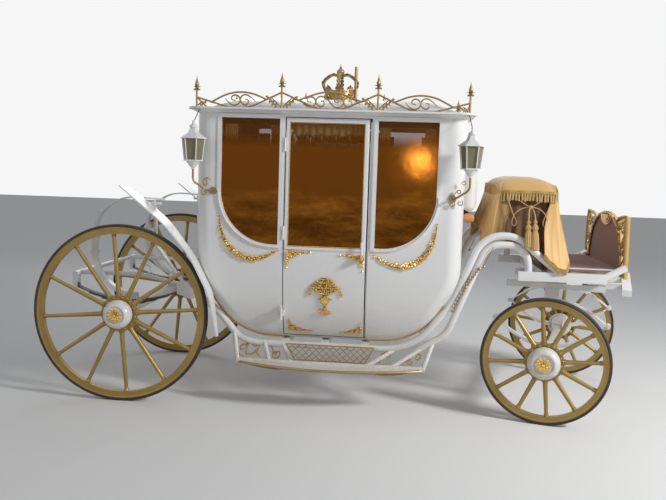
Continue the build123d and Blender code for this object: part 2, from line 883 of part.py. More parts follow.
# Driver's seat, footboard and dash
seat_rear = 2540.0
seat_front = 2860.0
seat_half = 420.0
seat_top = 1440.0
seat_bottom = 1190.0
seat_wall = 12.0
seat_leg_half = 30.0
seat_bearer_x = 2570.0
seat_bearer_half = 20.0
seat_bearer_thick = 30.0
beam_top = beam_z + beam_depth / 2
with BuildPart() as seat_box:
    block(seat_rear, seat_front, -seat_half, seat_half, seat_bottom, seat_top)
    block(
        seat_rear + seat_wall,
        seat_front - seat_wall,
        -seat_half + seat_wall,
        seat_half - seat_wall,
        seat_bottom - 10,
        seat_top - seat_wall,
        mode=Mode.SUBTRACT,
    )
    # One bearer across the rails carries the back, and two legs on a bearer of the frame the front
    block(
        seat_bearer_x - seat_bearer_half,
        seat_bearer_x + seat_bearer_half,
        -rail_y,
        rail_y,
        seat_bottom,
        seat_bottom + seat_bearer_thick,
    )
    for y in (-seat_half + seat_leg_half, seat_half - seat_leg_half):
        leg_x = driver_bearers[0]
        block(leg_x - 22, leg_x + 22, y - seat_leg_half, y + seat_leg_half, beam_top, seat_bottom + 20)
    add(both_frames, mode=Mode.SUBTRACT)
    main_box = seat_box.solids().sort_by(SortBy.VOLUME)[-1]
save(main_box, "seat_box")

# Hammercloth: rear edge, front edge and half width at its hem, its shoulder and its crown
cloth_thick = 10.0
cloth_hem = 1062.0
cloth_shoulder = 1500.0
cloth_crown = 1590.0
hem_outline = (2432.0, 2950.0, 488.0)
shoulder_outline = (2497.0, 2885.0, 468.0)
crown_outline = (2565.0, 2790.0, 400.0)
cloth_corner = 40.0


def cloth_section(z, outline, inset, corner):
    """Level outline of the cloth, drawn in from its outer face."""
    x0, x1, half = outline
    with BuildSketch(Plane(origin=(ahead((x0 + x1) / 2), 0, z))) as section:
        RectangleRounded(x1 - x0 - 2 * inset, 2 * (half - inset), corner)
    return section.sketch


with BuildPart() as hammercloth:
    loft(
        sections=[
            cloth_section(cloth_hem, hem_outline, 0, cloth_corner),
            cloth_section(cloth_shoulder, shoulder_outline, 0, cloth_corner),
        ]
    )
    loft(
        sections=[
            cloth_section(cloth_shoulder, shoulder_outline, 0, cloth_corner),
            cloth_section(cloth_crown, crown_outline, 0, cloth_corner),
        ]
    )
    cavity_top = seat_top + joint_gap
    share = (cavity_top - cloth_hem) / (cloth_shoulder - cloth_hem)
    cavity_outline = [low + share * (high - low) for low, high in zip(hem_outline, shoulder_outline)]
    loft(
        sections=[
            cloth_section(cloth_hem, hem_outline, cloth_thick, cloth_corner - cloth_thick),
            cloth_section(cavity_top, cavity_outline, cloth_thick, cloth_corner - cloth_thick),
        ],
        mode=Mode.SUBTRACT,
    )
    # Slots for the bearer across the rails
    slot_half = seat_bearer_half + joint_gap
    block(
        seat_bearer_x - slot_half,
        seat_bearer_x + slot_half,
        -rail_y,
        rail_y,
        cloth_hem,
        seat_bottom + seat_bearer_thick + joint_gap,
        mode=Mode.SUBTRACT,
    )
save(hammercloth.part, "hammercloth")

floor_rear = 2906.0
dash_x = 3320.0
footboard_thick = 24.0
footboard_half = 500.0
with BuildPart() as footboard:
    block(floor_rear, dash_x, -footboard_half, footboard_half, beam_top, beam_top + footboard_thick)
    add(both_frames, mode=Mode.SUBTRACT)
    main_floor = footboard.solids().sort_by(SortBy.VOLUME)[-1]
save(main_floor, "footboard")

# Dash: a mauve panel in a gilt frame whose wings are open
dash_thick = 20.0
panel_thick = 14.0
dash_bottom = beam_top - 27
dash_arch = 1378.0
dash_neck = (276.0, 1318.0)
dash_tip = (522.0, 1362.0)
dash_foot_half = 548.0
dash_bar = 18.0
dash_border = 12.0
panel_side = [(262, 1308), (360, 1233), (416, 1125), (438, 1034)]
panel_foot = dash_bottom + 27


def panel_outline(grow):
    """Half of the mauve panel's outline, grown on its free edges."""
    with BuildLine() as line:
        top = (0, dash_arch - dash_border + grow)
        first = (panel_side[0][0] + grow, panel_side[0][1] + grow)
        ThreePointArc(top, (140, dash_arch - 28 + grow), first)
        Spline(first, *[(y + grow, z + grow / 2) for y, z in panel_side[1:]])
        last = (panel_side[-1][0] + grow, panel_side[-1][1] + grow / 2)
        Polyline(last, (last[0], panel_foot - grow), (0, panel_foot - grow), top)
    make_face(line.edges())


with BuildPart() as dash:
    with BuildSketch(cross_plane(dash_x + (dash_thick - panel_thick) / 2)):
        panel_outline(-joint_gap)
        mirror(about=Plane.YZ)
    extrude(amount=panel_thick)
    add(both_frames, mode=Mode.SUBTRACT)
save(dash.part, "dash")

with BuildPart() as dash_rails:
    with BuildSketch(cross_plane(dash_x)):
        with BuildLine():
            ThreePointArc((0, dash_arch), (150, dash_arch - 16), dash_neck)
            ThreePointArc(dash_neck, (400, 1352), dash_tip)
            Polyline(dash_tip, (dash_foot_half, dash_bottom), (0, dash_bottom), (0, dash_arch))
        make_face()
        with BuildSketch(mode=Mode.PRIVATE) as wing:
            with BuildLine():
                Polyline(
                    (318, 1300),
                    (360, 1327),
                    (420, 1341),
                    (dash_tip[0] - dash_bar, dash_tip[1] - dash_bar),
                    (dash_foot_half - dash_bar - 2, dash_bottom + 30),
                    (panel_side[3][0] + dash_border, dash_bottom + 30),
                    (panel_side[3][0] + dash_border, panel_side[3][1]),
                    (panel_side[2][0] + dash_border + 4, panel_side[2][1]),
                    (panel_side[1][0] + dash_border + 4, panel_side[1][1]),
                    close=True,
                )
            make_face()
        add(wing.sketch, mode=Mode.SUBTRACT)
        with BuildSketch(mode=Mode.PRIVATE) as field:
            panel_outline(0)
        add(field.sketch, mode=Mode.SUBTRACT)
        mirror(about=Plane.YZ)
    extrude(amount=dash_thick)
    add(both_frames, mode=Mode.SUBTRACT)
    add(footboard.part, mode=Mode.SUBTRACT)
    main_rails = dash_rails.solids().sort_by(SortBy.VOLUME)[-1]
save(main_rails, "dash_rails")

back_depth = 98.0
with BuildPart() as back_roll:
    block(body_front + joint_gap, body_front + back_depth + 6, -430, 430, 1275, 1340)
    fillet(back_roll.faces().sort_by(Axis.X)[-1].edges(), radius=20)
with BuildPart() as seat_back:
    block(body_front + joint_gap, body_front + back_depth, -430, 430, 1300, 1890)
    fillet(seat_back.faces().sort_by(Axis.X)[-1].edges(), radius=38)
    add(back_roll.part)
save(seat_back.part, "seat_back")

# Lamps: six-sided lanterns on arms from the body's corners
lamp_y = 800.0
lamp_floor_z = 1640.0
lamp_pane_height = 135.0
lamp_foot_r = 58.0
lamp_head_r = 74.0
lamp_post_d = 8.0
lamp_arm_reach = 95.0
lamp_places = [(2277, 1), (512, -1)]


def hexagon(z, radius):
    with BuildSketch(Plane(origin=(0, 0, z))) as section:
        RegularPolygon(radius, 6)
    return section.sketch


with BuildPart() as lantern:
    pane_top = lamp_floor_z + lamp_pane_height
    with Locations((0, 0, lamp_floor_z - 28)):
        Cone(16, 46, 40)
    with Locations((0, 0, lamp_floor_z - 52)):
        Cylinder(11, 12)
    extrude(hexagon(lamp_floor_z - 8, lamp_foot_r + 6), amount=8)
    for index in range(6):
        turn = radians(60 * index)
        tube(
            [
                (lamp_foot_r * cos(turn) - rear_axle_x, lamp_foot_r * sin(turn), lamp_floor_z - 4),
                (lamp_head_r * cos(turn) - rear_axle_x, lamp_head_r * sin(turn), pane_top + 4),
            ],
            [],
            lamp_post_d,
        )
    extrude(hexagon(pane_top, lamp_head_r + 12), amount=8)
    loft(sections=[hexagon(pane_top + 8, lamp_head_r + 6), hexagon(pane_top + 38, 38)])
    loft(sections=[hexagon(pane_top + 38, 38), hexagon(pane_top + 72, 20)])
    with Locations((0, 0, pane_top + 78)):
        Cylinder(26, 12)
    with Locations((0, 0, pane_top + 94)):
        Cone(18, 6, 20)
    with Locations((0, 0, pane_top + 110)):
        Sphere(9)
with BuildPart() as pane_ring:
    loft(
        sections=[
            hexagon(lamp_floor_z, lamp_foot_r - 5),
            hexagon(pane_top, lamp_head_r - 5),
        ]
    )
    loft(
        sections=[
            hexagon(lamp_floor_z, lamp_foot_r - 9),
            hexagon(pane_top, lamp_head_r - 9),
        ],
        mode=Mode.SUBTRACT,
    )
lamp_spots = [(ahead(x), side * lamp_y, 0) for x, end in lamp_places for side in (-1, 1)]
with BuildPart() as lanterns:
    with Locations(*lamp_spots):
        add(lantern.part)
save(lanterns.part, "lanterns")
with BuildPart() as lamp_panes:
    with Locations(*lamp_spots):
        add(pane_ring.part)
save(lamp_panes.part, "lamp_panes")
with BuildPart() as lamp_brackets:
    for x, end in lamp_places:
        for side in (-1, 1):
            foot_x = x - end * lamp_arm_reach
            arm = [
                (foot_x, side * (body_half_width - 8), 1442),
                (foot_x + end * 10, side * 765, 1446),
                (x, side * lamp_y, 1505),
                (x, side * lamp_y, lamp_floor_z - 50),
            ]
            tube(arm, [40, 45], 14)
            foot = Plane(origin=(ahead(foot_x), side * (body_half_width - 2), 1442), z_dir=(0, 1, 0))
            with Locations(foot):
                Cylinder(25, 20)
    add(outer_form, mode=Mode.SUBTRACT)
    add(lanterns.part, mode=Mode.SUBTRACT)
save(lamp_brackets.part, "lamp_brackets")

# Fore carriage, drawn straight ahead and then turned
axle_front_z = front_wheel_d / 2
turntable_z = beam_z - beam_depth / 2
with BuildPart() as turntable_upper:
    with BuildSketch(Plane(origin=(ahead(wheelbase), 0, turntable_z))):
        Circle(300)
        Circle(240, mode=Mode.SUBTRACT)
        Rectangle(80, 560)
        Rectangle(100, 2 * rail_y + beam_width)
    extrude(amount=-12)
    with Locations((ahead(wheelbase), 0, turntable_z - 40)):
        Cylinder(20, 56)
save(turntable_upper.part, "turntable_upper")
with BuildPart() as turntable_lower:
    with BuildSketch(Plane(origin=(ahead(wheelbase), 0, turntable_z - 14))):
        Circle(300)
        Circle(240, mode=Mode.SUBTRACT)
        Rectangle(80, 560)
        Circle(20 + axle_play, mode=Mode.SUBTRACT)
    extrude(amount=-12)
save(steered(turntable_lower.part), "turntable_lower")
fore_top = turntable_z - 26
with BuildPart() as fore_beams:
    for y in (-400, 400):
        block(2695, 3340, y - 25, y + 25, fore_top - 40, fore_top)
    for y in (-200, 200):
        block(3175, splinter_bar_front - 60, y - 25, y + 25, fore_top - 40, fore_top)
    for x in (2800, 3200):
        block(x - 25, x + 25, -375, 375, fore_top - 40, fore_top)
    block(
        splinter_bar_front - 60,
        splinter_bar_front,
        -splinter_bar_half,
        splinter_bar_half,
        fore_top - 40,
        fore_top,
    )
    with Locations((ahead(splinter_bar_front - 30), 0, fore_top - 20)):
        Cylinder(pole_pin_d / 2, 40, mode=Mode.SUBTRACT)
save(steered(fore_beams.part), "fore_beams")
front_spring_y = 400.0
front_eye_z = 628.0
front_leaves = (357, 270, 180)
front_pack = len(front_leaves) * rear_leaf
front_seat_z = 450.0
front_spring_top = 786.0
beam_foot = fore_top - 40
with BuildPart() as front_springs:
    for y in (-front_spring_y, front_spring_y):
        low = front_seat_z + front_pack
        high = front_spring_top - front_pack
        leaf_pack(y, wheelbase, low, front_leaves, front_eye_z - low, rear_leaf, 1, False)
        leaf_pack(y, wheelbase, high, front_leaves, high - front_eye_z, rear_leaf, -1, False)
        for end in (-1, 1):
            pin = Plane(
                origin=(ahead(wheelbase + end * (front_leaves[0] + eye_r - 4)), y, front_eye_z),
                z_dir=(0, 1, 0),
            )
            with Locations(pin):
                Cylinder(eye_pin_r, leaf_width + 16)
        for z in (low, high - 8):
            block(wheelbase - 45, wheelbase + 45, y - 33, y + 33, z, z + 8)
        block(wheelbase - 47, wheelbase + 47, y - 30, y + 30, front_spring_top - 2, beam_foot)
save(steered(front_springs.part), "front_springs")
save(steered(axle(wheelbase, axle_front_z, front_spring_y, front_seat_z, 55)), "front_axle")


# Wheels


def wheel(name, distance, side, diameter, rim_depth, cap_d, turn):
    """One wheel on its axle end: rim with spokes, tyre and hub."""
    radius = diameter / 2
    rim_outer = radius - tyre_depth
    rim_inner = rim_outer - rim_depth
    centre = (ahead(distance), side * half_track, radius)
    wheel_plane = Plane(origin=centre, x_dir=(1, 0, 0), z_dir=(0, side, 0))
    with BuildPart() as rim:
        with BuildSketch(wheel_plane):
            Circle(rim_outer)
            Circle(rim_inner, mode=Mode.SUBTRACT)
        extrude(amount=rim_width / 2, both=True)
        for index in range(spoke_count):
            angle = radians(index * 360 / spoke_count + 5)
            direction = wheel_plane.x_dir * cos(angle) + wheel_plane.y_dir * sin(angle)
            start = Vector(*centre) + direction * (hub_d / 2)
            length = rim_inner + 4 - hub_d / 2
            with Locations(Plane(origin=start - direction * 10, z_dir=direction)):
                Cone(spoke_root_d / 2, spoke_tip_d / 2, length + 10, align=(Align.CENTER, Align.CENTER, Align.MIN))
        with BuildSketch(wheel_plane.offset(-hub_length / 2)):
            Circle(hub_d / 2)
        extrude(amount=hub_length, mode=Mode.SUBTRACT)
        with BuildSketch(wheel_plane.offset(spoke_root_d / 2 - 7)):
            Circle(flange_d / 2)
            Circle(hub_d / 2, mode=Mode.SUBTRACT)
        extrude(amount=flange_thick)
    with BuildPart() as tyre:
        with BuildSketch(wheel_plane):
            Circle(radius)
            Circle(rim_outer, mode=Mode.SUBTRACT)
        extrude(amount=tyre_width / 2, both=True)
        chamfer(tyre.edges().filter_by(GeomType.CIRCLE).group_by(SortBy.RADIUS)[-1], length=tyre_edge)
    with BuildPart() as hub:
        with BuildSketch(wheel_plane.offset(-hub_length / 2)):
            Circle(hub_d / 2)
        extrude(amount=hub_length)
        cap_height = hub_length / 2 + hub_cap_reach - 40 - hub_cap_rear
        with BuildSketch(wheel_plane.offset(hub_cap_rear)):
            Circle(cap_d / 2)
        extrude(amount=cap_height)
        cap_face = hub.faces().sort_by(Axis(centre, (0, side, 0)))[-1]
        fillet(cap_face.edges(), radius=cap_height - 14)
        with BuildSketch(wheel_plane.offset(-hub_length / 2)):
            Circle(axle_d / 2 + axle_play)
        extrude(amount=hub_length - 10, mode=Mode.SUBTRACT)
    for piece, label in ((rim, "rim"), (tyre, "tyre"), (hub, "hub")):
        save(steered(piece.part) if turn else piece.part, f"{label}_{name}")


# Name, distance ahead, side, diameter, rim depth, cap diameter, steered
wheels = [
    ("rear_right", 0, -1, rear_wheel_d, rear_rim_depth, rear_cap_d, False),
    ("rear_left", 0, 1, rear_wheel_d, rear_rim_depth, rear_cap_d, False),
    ("front_right", wheelbase, -1, front_wheel_d, front_rim_depth, front_cap_d, True),
    ("front_left", wheelbase, 1, front_wheel_d, front_rim_depth, front_cap_d, True),
]
for row in wheels:
    wheel(*row)
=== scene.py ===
"""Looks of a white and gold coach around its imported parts: paint, gilt ornaments, cloth and trim."""

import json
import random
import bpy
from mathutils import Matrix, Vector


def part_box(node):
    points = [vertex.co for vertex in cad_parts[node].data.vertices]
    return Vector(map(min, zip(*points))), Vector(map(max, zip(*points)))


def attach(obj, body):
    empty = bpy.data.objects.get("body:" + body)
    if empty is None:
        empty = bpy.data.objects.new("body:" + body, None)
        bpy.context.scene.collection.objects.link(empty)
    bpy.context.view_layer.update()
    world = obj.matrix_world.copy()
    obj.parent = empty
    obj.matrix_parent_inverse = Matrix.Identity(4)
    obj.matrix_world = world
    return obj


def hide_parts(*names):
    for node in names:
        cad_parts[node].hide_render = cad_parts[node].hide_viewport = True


bl_info = {
    "name": "White and gold coach",
    "version": (1, 0, 0),
    "blender": (4, 5, 0),
    "location": "View3D > Sidebar > Coach",
    "description": "Paint, gilt ornaments, cloth and trim for a horse drawn coach",
    "category": "Object",
}

from math import atan2, cos, pi, radians, sin, sqrt

import bmesh
import bpy
from bpy.props import FloatProperty, FloatVectorProperty, PointerProperty
from mathutils import Matrix, Vector
from mathutils.bvhtree import BVHTree

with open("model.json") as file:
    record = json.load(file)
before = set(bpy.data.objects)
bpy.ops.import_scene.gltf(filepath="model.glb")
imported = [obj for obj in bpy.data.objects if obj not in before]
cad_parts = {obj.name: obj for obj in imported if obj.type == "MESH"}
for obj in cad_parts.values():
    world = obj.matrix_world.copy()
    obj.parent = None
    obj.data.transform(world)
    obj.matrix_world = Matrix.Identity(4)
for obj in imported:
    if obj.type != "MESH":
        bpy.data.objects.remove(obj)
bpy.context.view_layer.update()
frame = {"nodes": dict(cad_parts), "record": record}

MM = 0.001
NEAR, FAR = "right", "left"
COACH = ("coach", "coach")
DOORS = ("door_right", "door_left")

axle_low, axle_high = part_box("rear_axle")
REAR_AXLE_X = (Vector(axle_low) + Vector(axle_high)).x / 2


def along_x(ahead):
    """Place along X, in metres, of a distance ahead of the rear axle."""
    return REAR_AXLE_X + ahead * MM


def spot(ahead, across, height):
    """Point in metres from millimetres ahead of the rear axle, to the left and above the ground."""
    return Vector((along_x(ahead), across * MM, height * MM))


# Finishes


def operation(kind, swapped=False):
    """Operator method that adds a Math node."""

    def add(self, other):
        return self.finish.math(kind, *((other, self) if swapped else (self, other)))

    return add


class Value:
    """Output of a shader node that can be used in sums."""

    __add__ = __radd__ = operation("ADD")
    __sub__, __rsub__ = operation("SUBTRACT"), operation("SUBTRACT", swapped=True)
    __mul__ = __rmul__ = operation("MULTIPLY")
    __truediv__ = operation("DIVIDE")

    def __init__(self, finish, socket):
        self.finish = finish
        self.socket = socket

    def clamped(self):
        return self.finish.node("ShaderNodeClamp", None, {"Value": self})


class Finish:
    """Nodes mixed afresh for a material or a world: the one that the frame loaded, or a new one."""

    def __init__(self, name, kind="materials"):
        shelf = getattr(bpy.data, kind)
        self.owner = shelf.get(name) or shelf.new(name)
        self.owner.use_nodes = True
        self.tree = self.owner.node_tree
        self.tree.nodes.clear()

    def node(self, kind, settings=None, inputs=None, out=0, stops=()):
        """Add a node, set its settings and ramp stops, then its sockets, and give one output."""
        node = self.tree.nodes.new(kind)
        for key, value in (settings or {}).items():
            setattr(node, key, value)
        for index, (position, grey) in enumerate(stops):
            node.color_ramp.elements[index].position = position
            node.color_ramp.elements[index].color = (grey, grey, grey, 1)
        for key, value in (inputs or {}).items():
            if isinstance(value, Value):
                self.tree.links.new(value.socket, node.inputs[key])
            else:
                node.inputs[key].default_value = value
        return Value(self, node.outputs[out]) if len(node.outputs) else None

    @property
    def ground(self):
        """The object's own coordinates."""
        return self.node("ShaderNodeTexCoord", out="Object")

    @property
    def height(self):
        """Height above the ground."""
        return self.node("ShaderNodeSeparateXYZ", None, {0: self.ground}, out="Z")

    def math(self, kind, *values):
        return self.node("ShaderNodeMath", {"operation": kind}, dict(enumerate(values)))

    def mix(self, factor, first, second):
        """Colour between two colours."""
        inputs = {0: factor, 6: opaque(first), 7: opaque(second)}
        return self.node("ShaderNodeMix", {"data_type": "RGBA"}, inputs, out=2)

    def noise(self, scale, detail=3.0, roughness=0.55, stretch=None):
        """Noise on the object's coordinates, scaled along each axis."""
        ground = self.ground
        if stretch:
            ground = self.node("ShaderNodeMapping", None, {"Vector": ground, "Scale": stretch})
        inputs = {"Vector": ground, "Scale": scale, "Detail": detail, "Roughness": roughness}
        return self.node("ShaderNodeTexNoise", None, inputs)

    def bump(self, height, strength, distance):
        inputs = {"Height": height, "Strength": strength, "Distance": distance}
        return self.node("ShaderNodeBump", None, inputs)

    def surface(self, base_color, **sockets):
        """Principled surface; the keys are its sockets in lower case."""
        names = {key: key.replace("_", " ").title() for key in sockets} | {"ior": "IOR"}
        values = {"Base Color": opaque(base_color)} | {names[key]: value for key, value in sockets.items()}
        self.node("ShaderNodeOutputMaterial", None, {0: self.node("ShaderNodeBsdfPrincipled", None, values)})


def opaque(colour):
    """Colour with full alpha, or the socket as it is."""
    return colour if isinstance(colour, Value) else (*colour[:3], 1.0)


def shade(colour, factor):
    return tuple(channel * factor for channel in colour[:3])


def gloss_paint(name, colour, dust):
    """Brushed gloss paint with faint road dust low down."""
    finish = Finish(name)
    cloud, grain, ripple = finish.noise(2.3, 4), finish.noise(70, 3), finish.noise(320, 2)
    low = ((0.75 - finish.height) / 0.75).clamped()
    dirt = (low * cloud * grain * dust).clamped()
    tone = finish.mix(cloud * 0.35, colour, shade(colour, 0.93))
    finish.surface(
        finish.mix(dirt, tone, (0.42, 0.34, 0.24)),
        roughness=0.2 + 0.1 * cloud + 0.9 * dirt,
        coat_weight=0.35,
        coat_roughness=0.12,
        normal=finish.bump(ripple, 0.05, 0.001),
    )


def worn_gold(name, colour, metallic, roughness, scratch, shade_reach=0):
    """Gold paint or gilt: rubbed in places, with painted shade that darkens hollows up to a width in
    millimetres.
    """
    finish = Finish(name)
    cloud, grain = finish.noise(9, 4), finish.noise(160, 3)
    rub = (cloud * 1.6 - 0.45).clamped()
    tone = finish.mix(rub, shade(colour, 0.68), colour)
    tone = finish.mix(grain * 0.25, tone, shade(colour, 1.25))
    if shade_reach:
        # Painted shade: ambient occlusion darkens the gold in hollows and between close parts
        hollow_shade = finish.node("ShaderNodeAmbientOcclusion", {"samples": 6}, {"Distance": shade_reach * MM}, out="AO")
        hollow_shade = finish.node("ShaderNodeValToRGB", None, {0: hollow_shade}, stops=((0.25, 0.0), (0.8, 1.0)))
        tone = finish.mix(hollow_shade, shade(colour, 0.16), tone)
    finish.surface(
        tone,
        metallic=metallic,
        roughness=roughness + 0.16 * grain - 0.08 * rub,
        normal=finish.bump(grain, scratch, 0.002),
    )


def solid_rubber(name):
    finish = Finish(name)
    cloud, grain = finish.noise(6, 4), finish.noise(240, 4)
    dust = (cloud * grain * 2.4 - 0.3).clamped()
    tone = finish.mix(dust * 0.5, (0.012, 0.012, 0.012), (0.16, 0.13, 0.1))
    finish.surface(tone, roughness=0.55 + 0.3 * grain, normal=finish.bump(grain, 0.25, 0.002))


def mirror_film(name, colour, glow):
    """Window glass with a bronze mirror film and painted reflections: darker above, lighter and warm below,
    thinner at its top edge.
    """
    finish = Finish(name)
    cloud, fleck = finish.noise(1.7, 4, 0.6), finish.noise(38, 4, 0.7)
    streak = finish.noise(5.0, 5, 0.65, (0.6, 1.0, 2.2))
    # Painted reflection: lighter warm colour low down and in patches, streaks and flecks stands in for what
    # the glass reflects
    lower_reflection = ((1.62 - finish.height) / 0.55).clamped()
    reflection_patch = (lower_reflection * 1.15 + cloud * 0.9 + streak * 0.5 - 0.98).clamped()
    tone = finish.mix(reflection_patch, shade(colour, 0.5), colour)
    tone = finish.mix((reflection_patch * (streak * 2.6 - 1.0).clamped()).clamped(), tone, glow)
    tone = finish.mix((fleck * 2.0 - 1.05).clamped() * reflection_patch, tone, shade(glow, 1.2))
    thin = ((finish.height - 1.74) / 0.09).clamped()
    finish.surface(
        tone,
        metallic=1.0,
        roughness=0.06 + 0.08 * streak,
        alpha=1.0 - 0.66 * thin,
        normal=finish.bump(cloud, 0.1, 0.02),
    )


def woven(name, colour, roughness, sheen, weave, pitch=900.0):
    """Cloth with a fine weave and soft lengthwise variation."""
    finish = Finish(name)
    inputs = {"Vector": finish.ground, "Scale": pitch, "Distortion": 1.0, "Detail": 1.0}
    bands = ({"wave_type": "BANDS", "bands_direction": way} for way in "XZ")
    warp, weft = (finish.node("ShaderNodeTexWave", settings, inputs) for settings in bands)
    cloud, slub = finish.noise(5, 4), finish.noise(60, 3, 0.6, (1.0, 1.0, 0.15))
    tone = finish.mix(cloud * 0.5, colour, shade(colour, 0.78))
    finish.surface(
        finish.mix(slub * 0.3, tone, shade(colour, 1.22)),
        roughness=roughness + 0.1 * slub,
        sheen_weight=sheen,
        sheen_roughness=0.35,
        normal=finish.bump(warp * weft + slub, weave, 0.001),
    )


def strands(name, colour):
    """Twisted thread of fringes, tassels and cords."""
    finish = Finish(name)
    fibre, cloud = finish.noise(500, 3, 0.6, (1.0, 1.0, 0.08)), finish.noise(14, 3)
    tone = finish.mix(fibre * 0.8, shade(colour, 0.55), shade(colour, 1.2))
    finish.surface(
        finish.mix(cloud * 0.35, tone, shade(colour, 0.8)),
        roughness=0.5 + 0.2 * fibre,
        sheen_weight=0.35,
        normal=finish.bump(fibre, 0.7, 0.002),
    )


def hide(name, colour):
    """Padded leather with a fine grain."""
    finish = Finish(name)
    inputs = {"Vector": finish.ground, "Scale": 420.0}
    cells = finish.node("ShaderNodeTexVoronoi", {"feature": "DISTANCE_TO_EDGE"}, inputs)
    cloud = finish.noise(7, 4)
    finish.surface(
        finish.mix(cloud * 0.5, colour, shade(colour, 0.86)),
        roughness=0.36 + 0.16 * cloud,
        coat_weight=0.1,
        normal=finish.bump(cells, 0.3, 0.0008),
    )


def spring_steel(name, colour):
    finish = Finish(name)
    cloud, grain = finish.noise(8, 5), finish.noise(180, 3)
    rust = (cloud * 2.2 - 1.15).clamped() * grain
    finish.surface(
        finish.mix(rust, colour, (0.16, 0.09, 0.05)),
        metallic=0.4,
        roughness=0.42 + 0.25 * grain,
        normal=finish.bump(grain, 0.2, 0.001),
    )


def lamp_pane(name, colour):
    finish = Finish(name)
    cloud = finish.noise(12, 3)
    finish.surface(
        finish.mix(cloud, shade(colour, 0.7), colour),
        roughness=0.12 + 0.15 * cloud,
        transmission_weight=0.2,
        alpha=0.92,
        ior=1.45,
    )


def boards(name, colour):
    finish = Finish(name)
    rings, fine = finish.noise(14, 6, 0.65, (0.12, 1.0, 1.0)), finish.noise(220, 3, 0.6, (0.06, 1.0, 1.0))
    tone = finish.mix(rings, shade(colour, 0.6), shade(colour, 1.2))
    tone = finish.mix(fine * 0.35, tone, shade(colour, 0.5))
    finish.surface(tone, roughness=0.45 + 0.25 * fine, normal=finish.bump(fine, 0.2, 0.001))


# Shapes


def at(place):
    return Matrix.Translation(place)


def spin(angle, axis="Z"):
    return Matrix.Rotation(angle, 4, axis)


def grow(size):
    return Matrix.Scale(size, 4)


def add_piece(name, bm, finish, body="coach", crease=38):
    """Make a finished piece of a bmesh, riding on a body."""
    mesh = bpy.data.meshes.new(name)
    bm.to_mesh(mesh)
    bm.free()
    mesh.materials.append(bpy.data.materials[finish])
    mesh.shade_smooth()
    mesh.set_sharp_from_angle(angle=radians(crease))
    piece = bpy.data.objects.new(name, mesh)
    bpy.context.scene.collection.objects.link(piece)
    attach(piece, body)
    return piece


def add_both_sides(name, bm, finish, bodies=COACH):
    """Piece on the near side and its mirror image on the far side."""
    mirrored_bm = bm.copy()
    bmesh.ops.scale(mirrored_bm, vec=(1, -1, 1), verts=mirrored_bm.verts)
    bmesh.ops.reverse_faces(mirrored_bm, faces=mirrored_bm.faces)
    near = add_piece(f"{name}_{NEAR}", bm, finish, bodies[0])
    return near, add_piece(f"{name}_{FAR}", mirrored_bm, finish, bodies[1])


def as_stamp(bm):
    """Keep a small shape as a mesh that can be pressed many times."""
    mesh = bpy.data.meshes.new("stamp")
    bm.to_mesh(mesh)
    bm.free()
    return mesh


def press(bm, stamp, place):
    """Add a stamp's shape to a bmesh, moved by a matrix, with its faces outwards if it is mirrored."""
    first_vert, first_face = len(bm.verts), len(bm.faces)
    bm.from_mesh(stamp)
    bm.verts.ensure_lookup_table()
    bmesh.ops.transform(bm, matrix=place, verts=bm.verts[first_vert:])
    if place.determinant() < 0:
        bm.faces.ensure_lookup_table()
        bmesh.ops.reverse_faces(bm, faces=bm.faces[first_face:])


def flat_turn(x, y, z, angle=0.0, size=1.0, tilt=0.0):
    """Matrix that sets a stamp in a flat ornament: place, turn in the plane, size and tilt."""
    return at((x, y, z)) @ spin(angle) @ spin(tilt, "Y") @ grow(size)


def put(bm, stamp, x, z, lift=0, angle=0.0, size=1.0, tilt=0.0):
    """Set a stamp in a flat ornament drawn as (ahead, height, outwards), in millimetres."""
    press(bm, stamp, flat_turn(along_x(x), z * MM, lift * MM, angle, size * MM, tilt))


def turned(profile, steps=16, lobes=0, depth=0.0):
    """Shape turned about Z from (radius, height) points in millimetres, fluted into lobes."""
    bm = bmesh.new()
    points = [bm.verts.new((radius * MM, 0, height * MM)) for radius, height in profile]
    edges = [bm.edges.new(pair) for pair in zip(points, points[1:])]
    full = {"cent": (0, 0, 0), "axis": (0, 0, 1), "angle": 2 * pi, "use_merge": True}
    bmesh.ops.spin(bm, geom=points + edges, steps=steps, **full)
    bmesh.ops.remove_doubles(bm, verts=bm.verts, dist=1e-6)
    if lobes:
        for vert in bm.verts:
            factor = 1 - depth * (0.5 - 0.5 * cos(lobes * atan2(vert.co.y, vert.co.x)))
            vert.co.x *= factor
            vert.co.y *= factor
    bmesh.ops.recalc_face_normals(bm, faces=bm.faces)
    return as_stamp(bm)


def wire_curve(name, paths, radius, order=3, resolution=4, sides=2):
    """Round wires in millimetre radius along smooth lines of metre points, thinned by a fourth number."""
    curve = bpy.data.curves.new(name, "CURVE")
    curve.dimensions = "3D"
    curve.bevel_depth = radius * MM
    curve.bevel_resolution = sides
    curve.resolution_u = resolution
    curve.use_fill_caps = True
    for path in paths:
        spline = curve.splines.new("NURBS")
        spline.points.add(len(path) - 1)
        for point, place in zip(spline.points, path):
            point.co = (*place[:3], 1)
            if len(place) > 3:
                point.radius = place[3]
        spline.order_u = min(order, len(path))
        spline.use_endpoint_u = True
    return curve


def meshed(curve):
    """Turn a curve into a mesh."""
    holder = bpy.data.objects.new("curve", curve)
    mesh = bpy.data.meshes.new_from_object(holder)
    bpy.data.objects.remove(holder)
    bpy.data.curves.remove(curve)
    return mesh


def wires(bm, paths, radius, **form):
    """Add round wires to a bmesh."""
    mesh = meshed(wire_curve("wires", paths, radius, **form))
    bm.from_mesh(mesh)
    bpy.data.meshes.remove(mesh)


def tapered(path, place, depth):
    """Wire through (across, up) points that a function sets, thinner towards its ends."""
    last = len(path) - 1
    return [(*place(a, b), 1.25 - depth * abs(2 * i / last - 1) ** 3) for i, (a, b) in enumerate(path)]


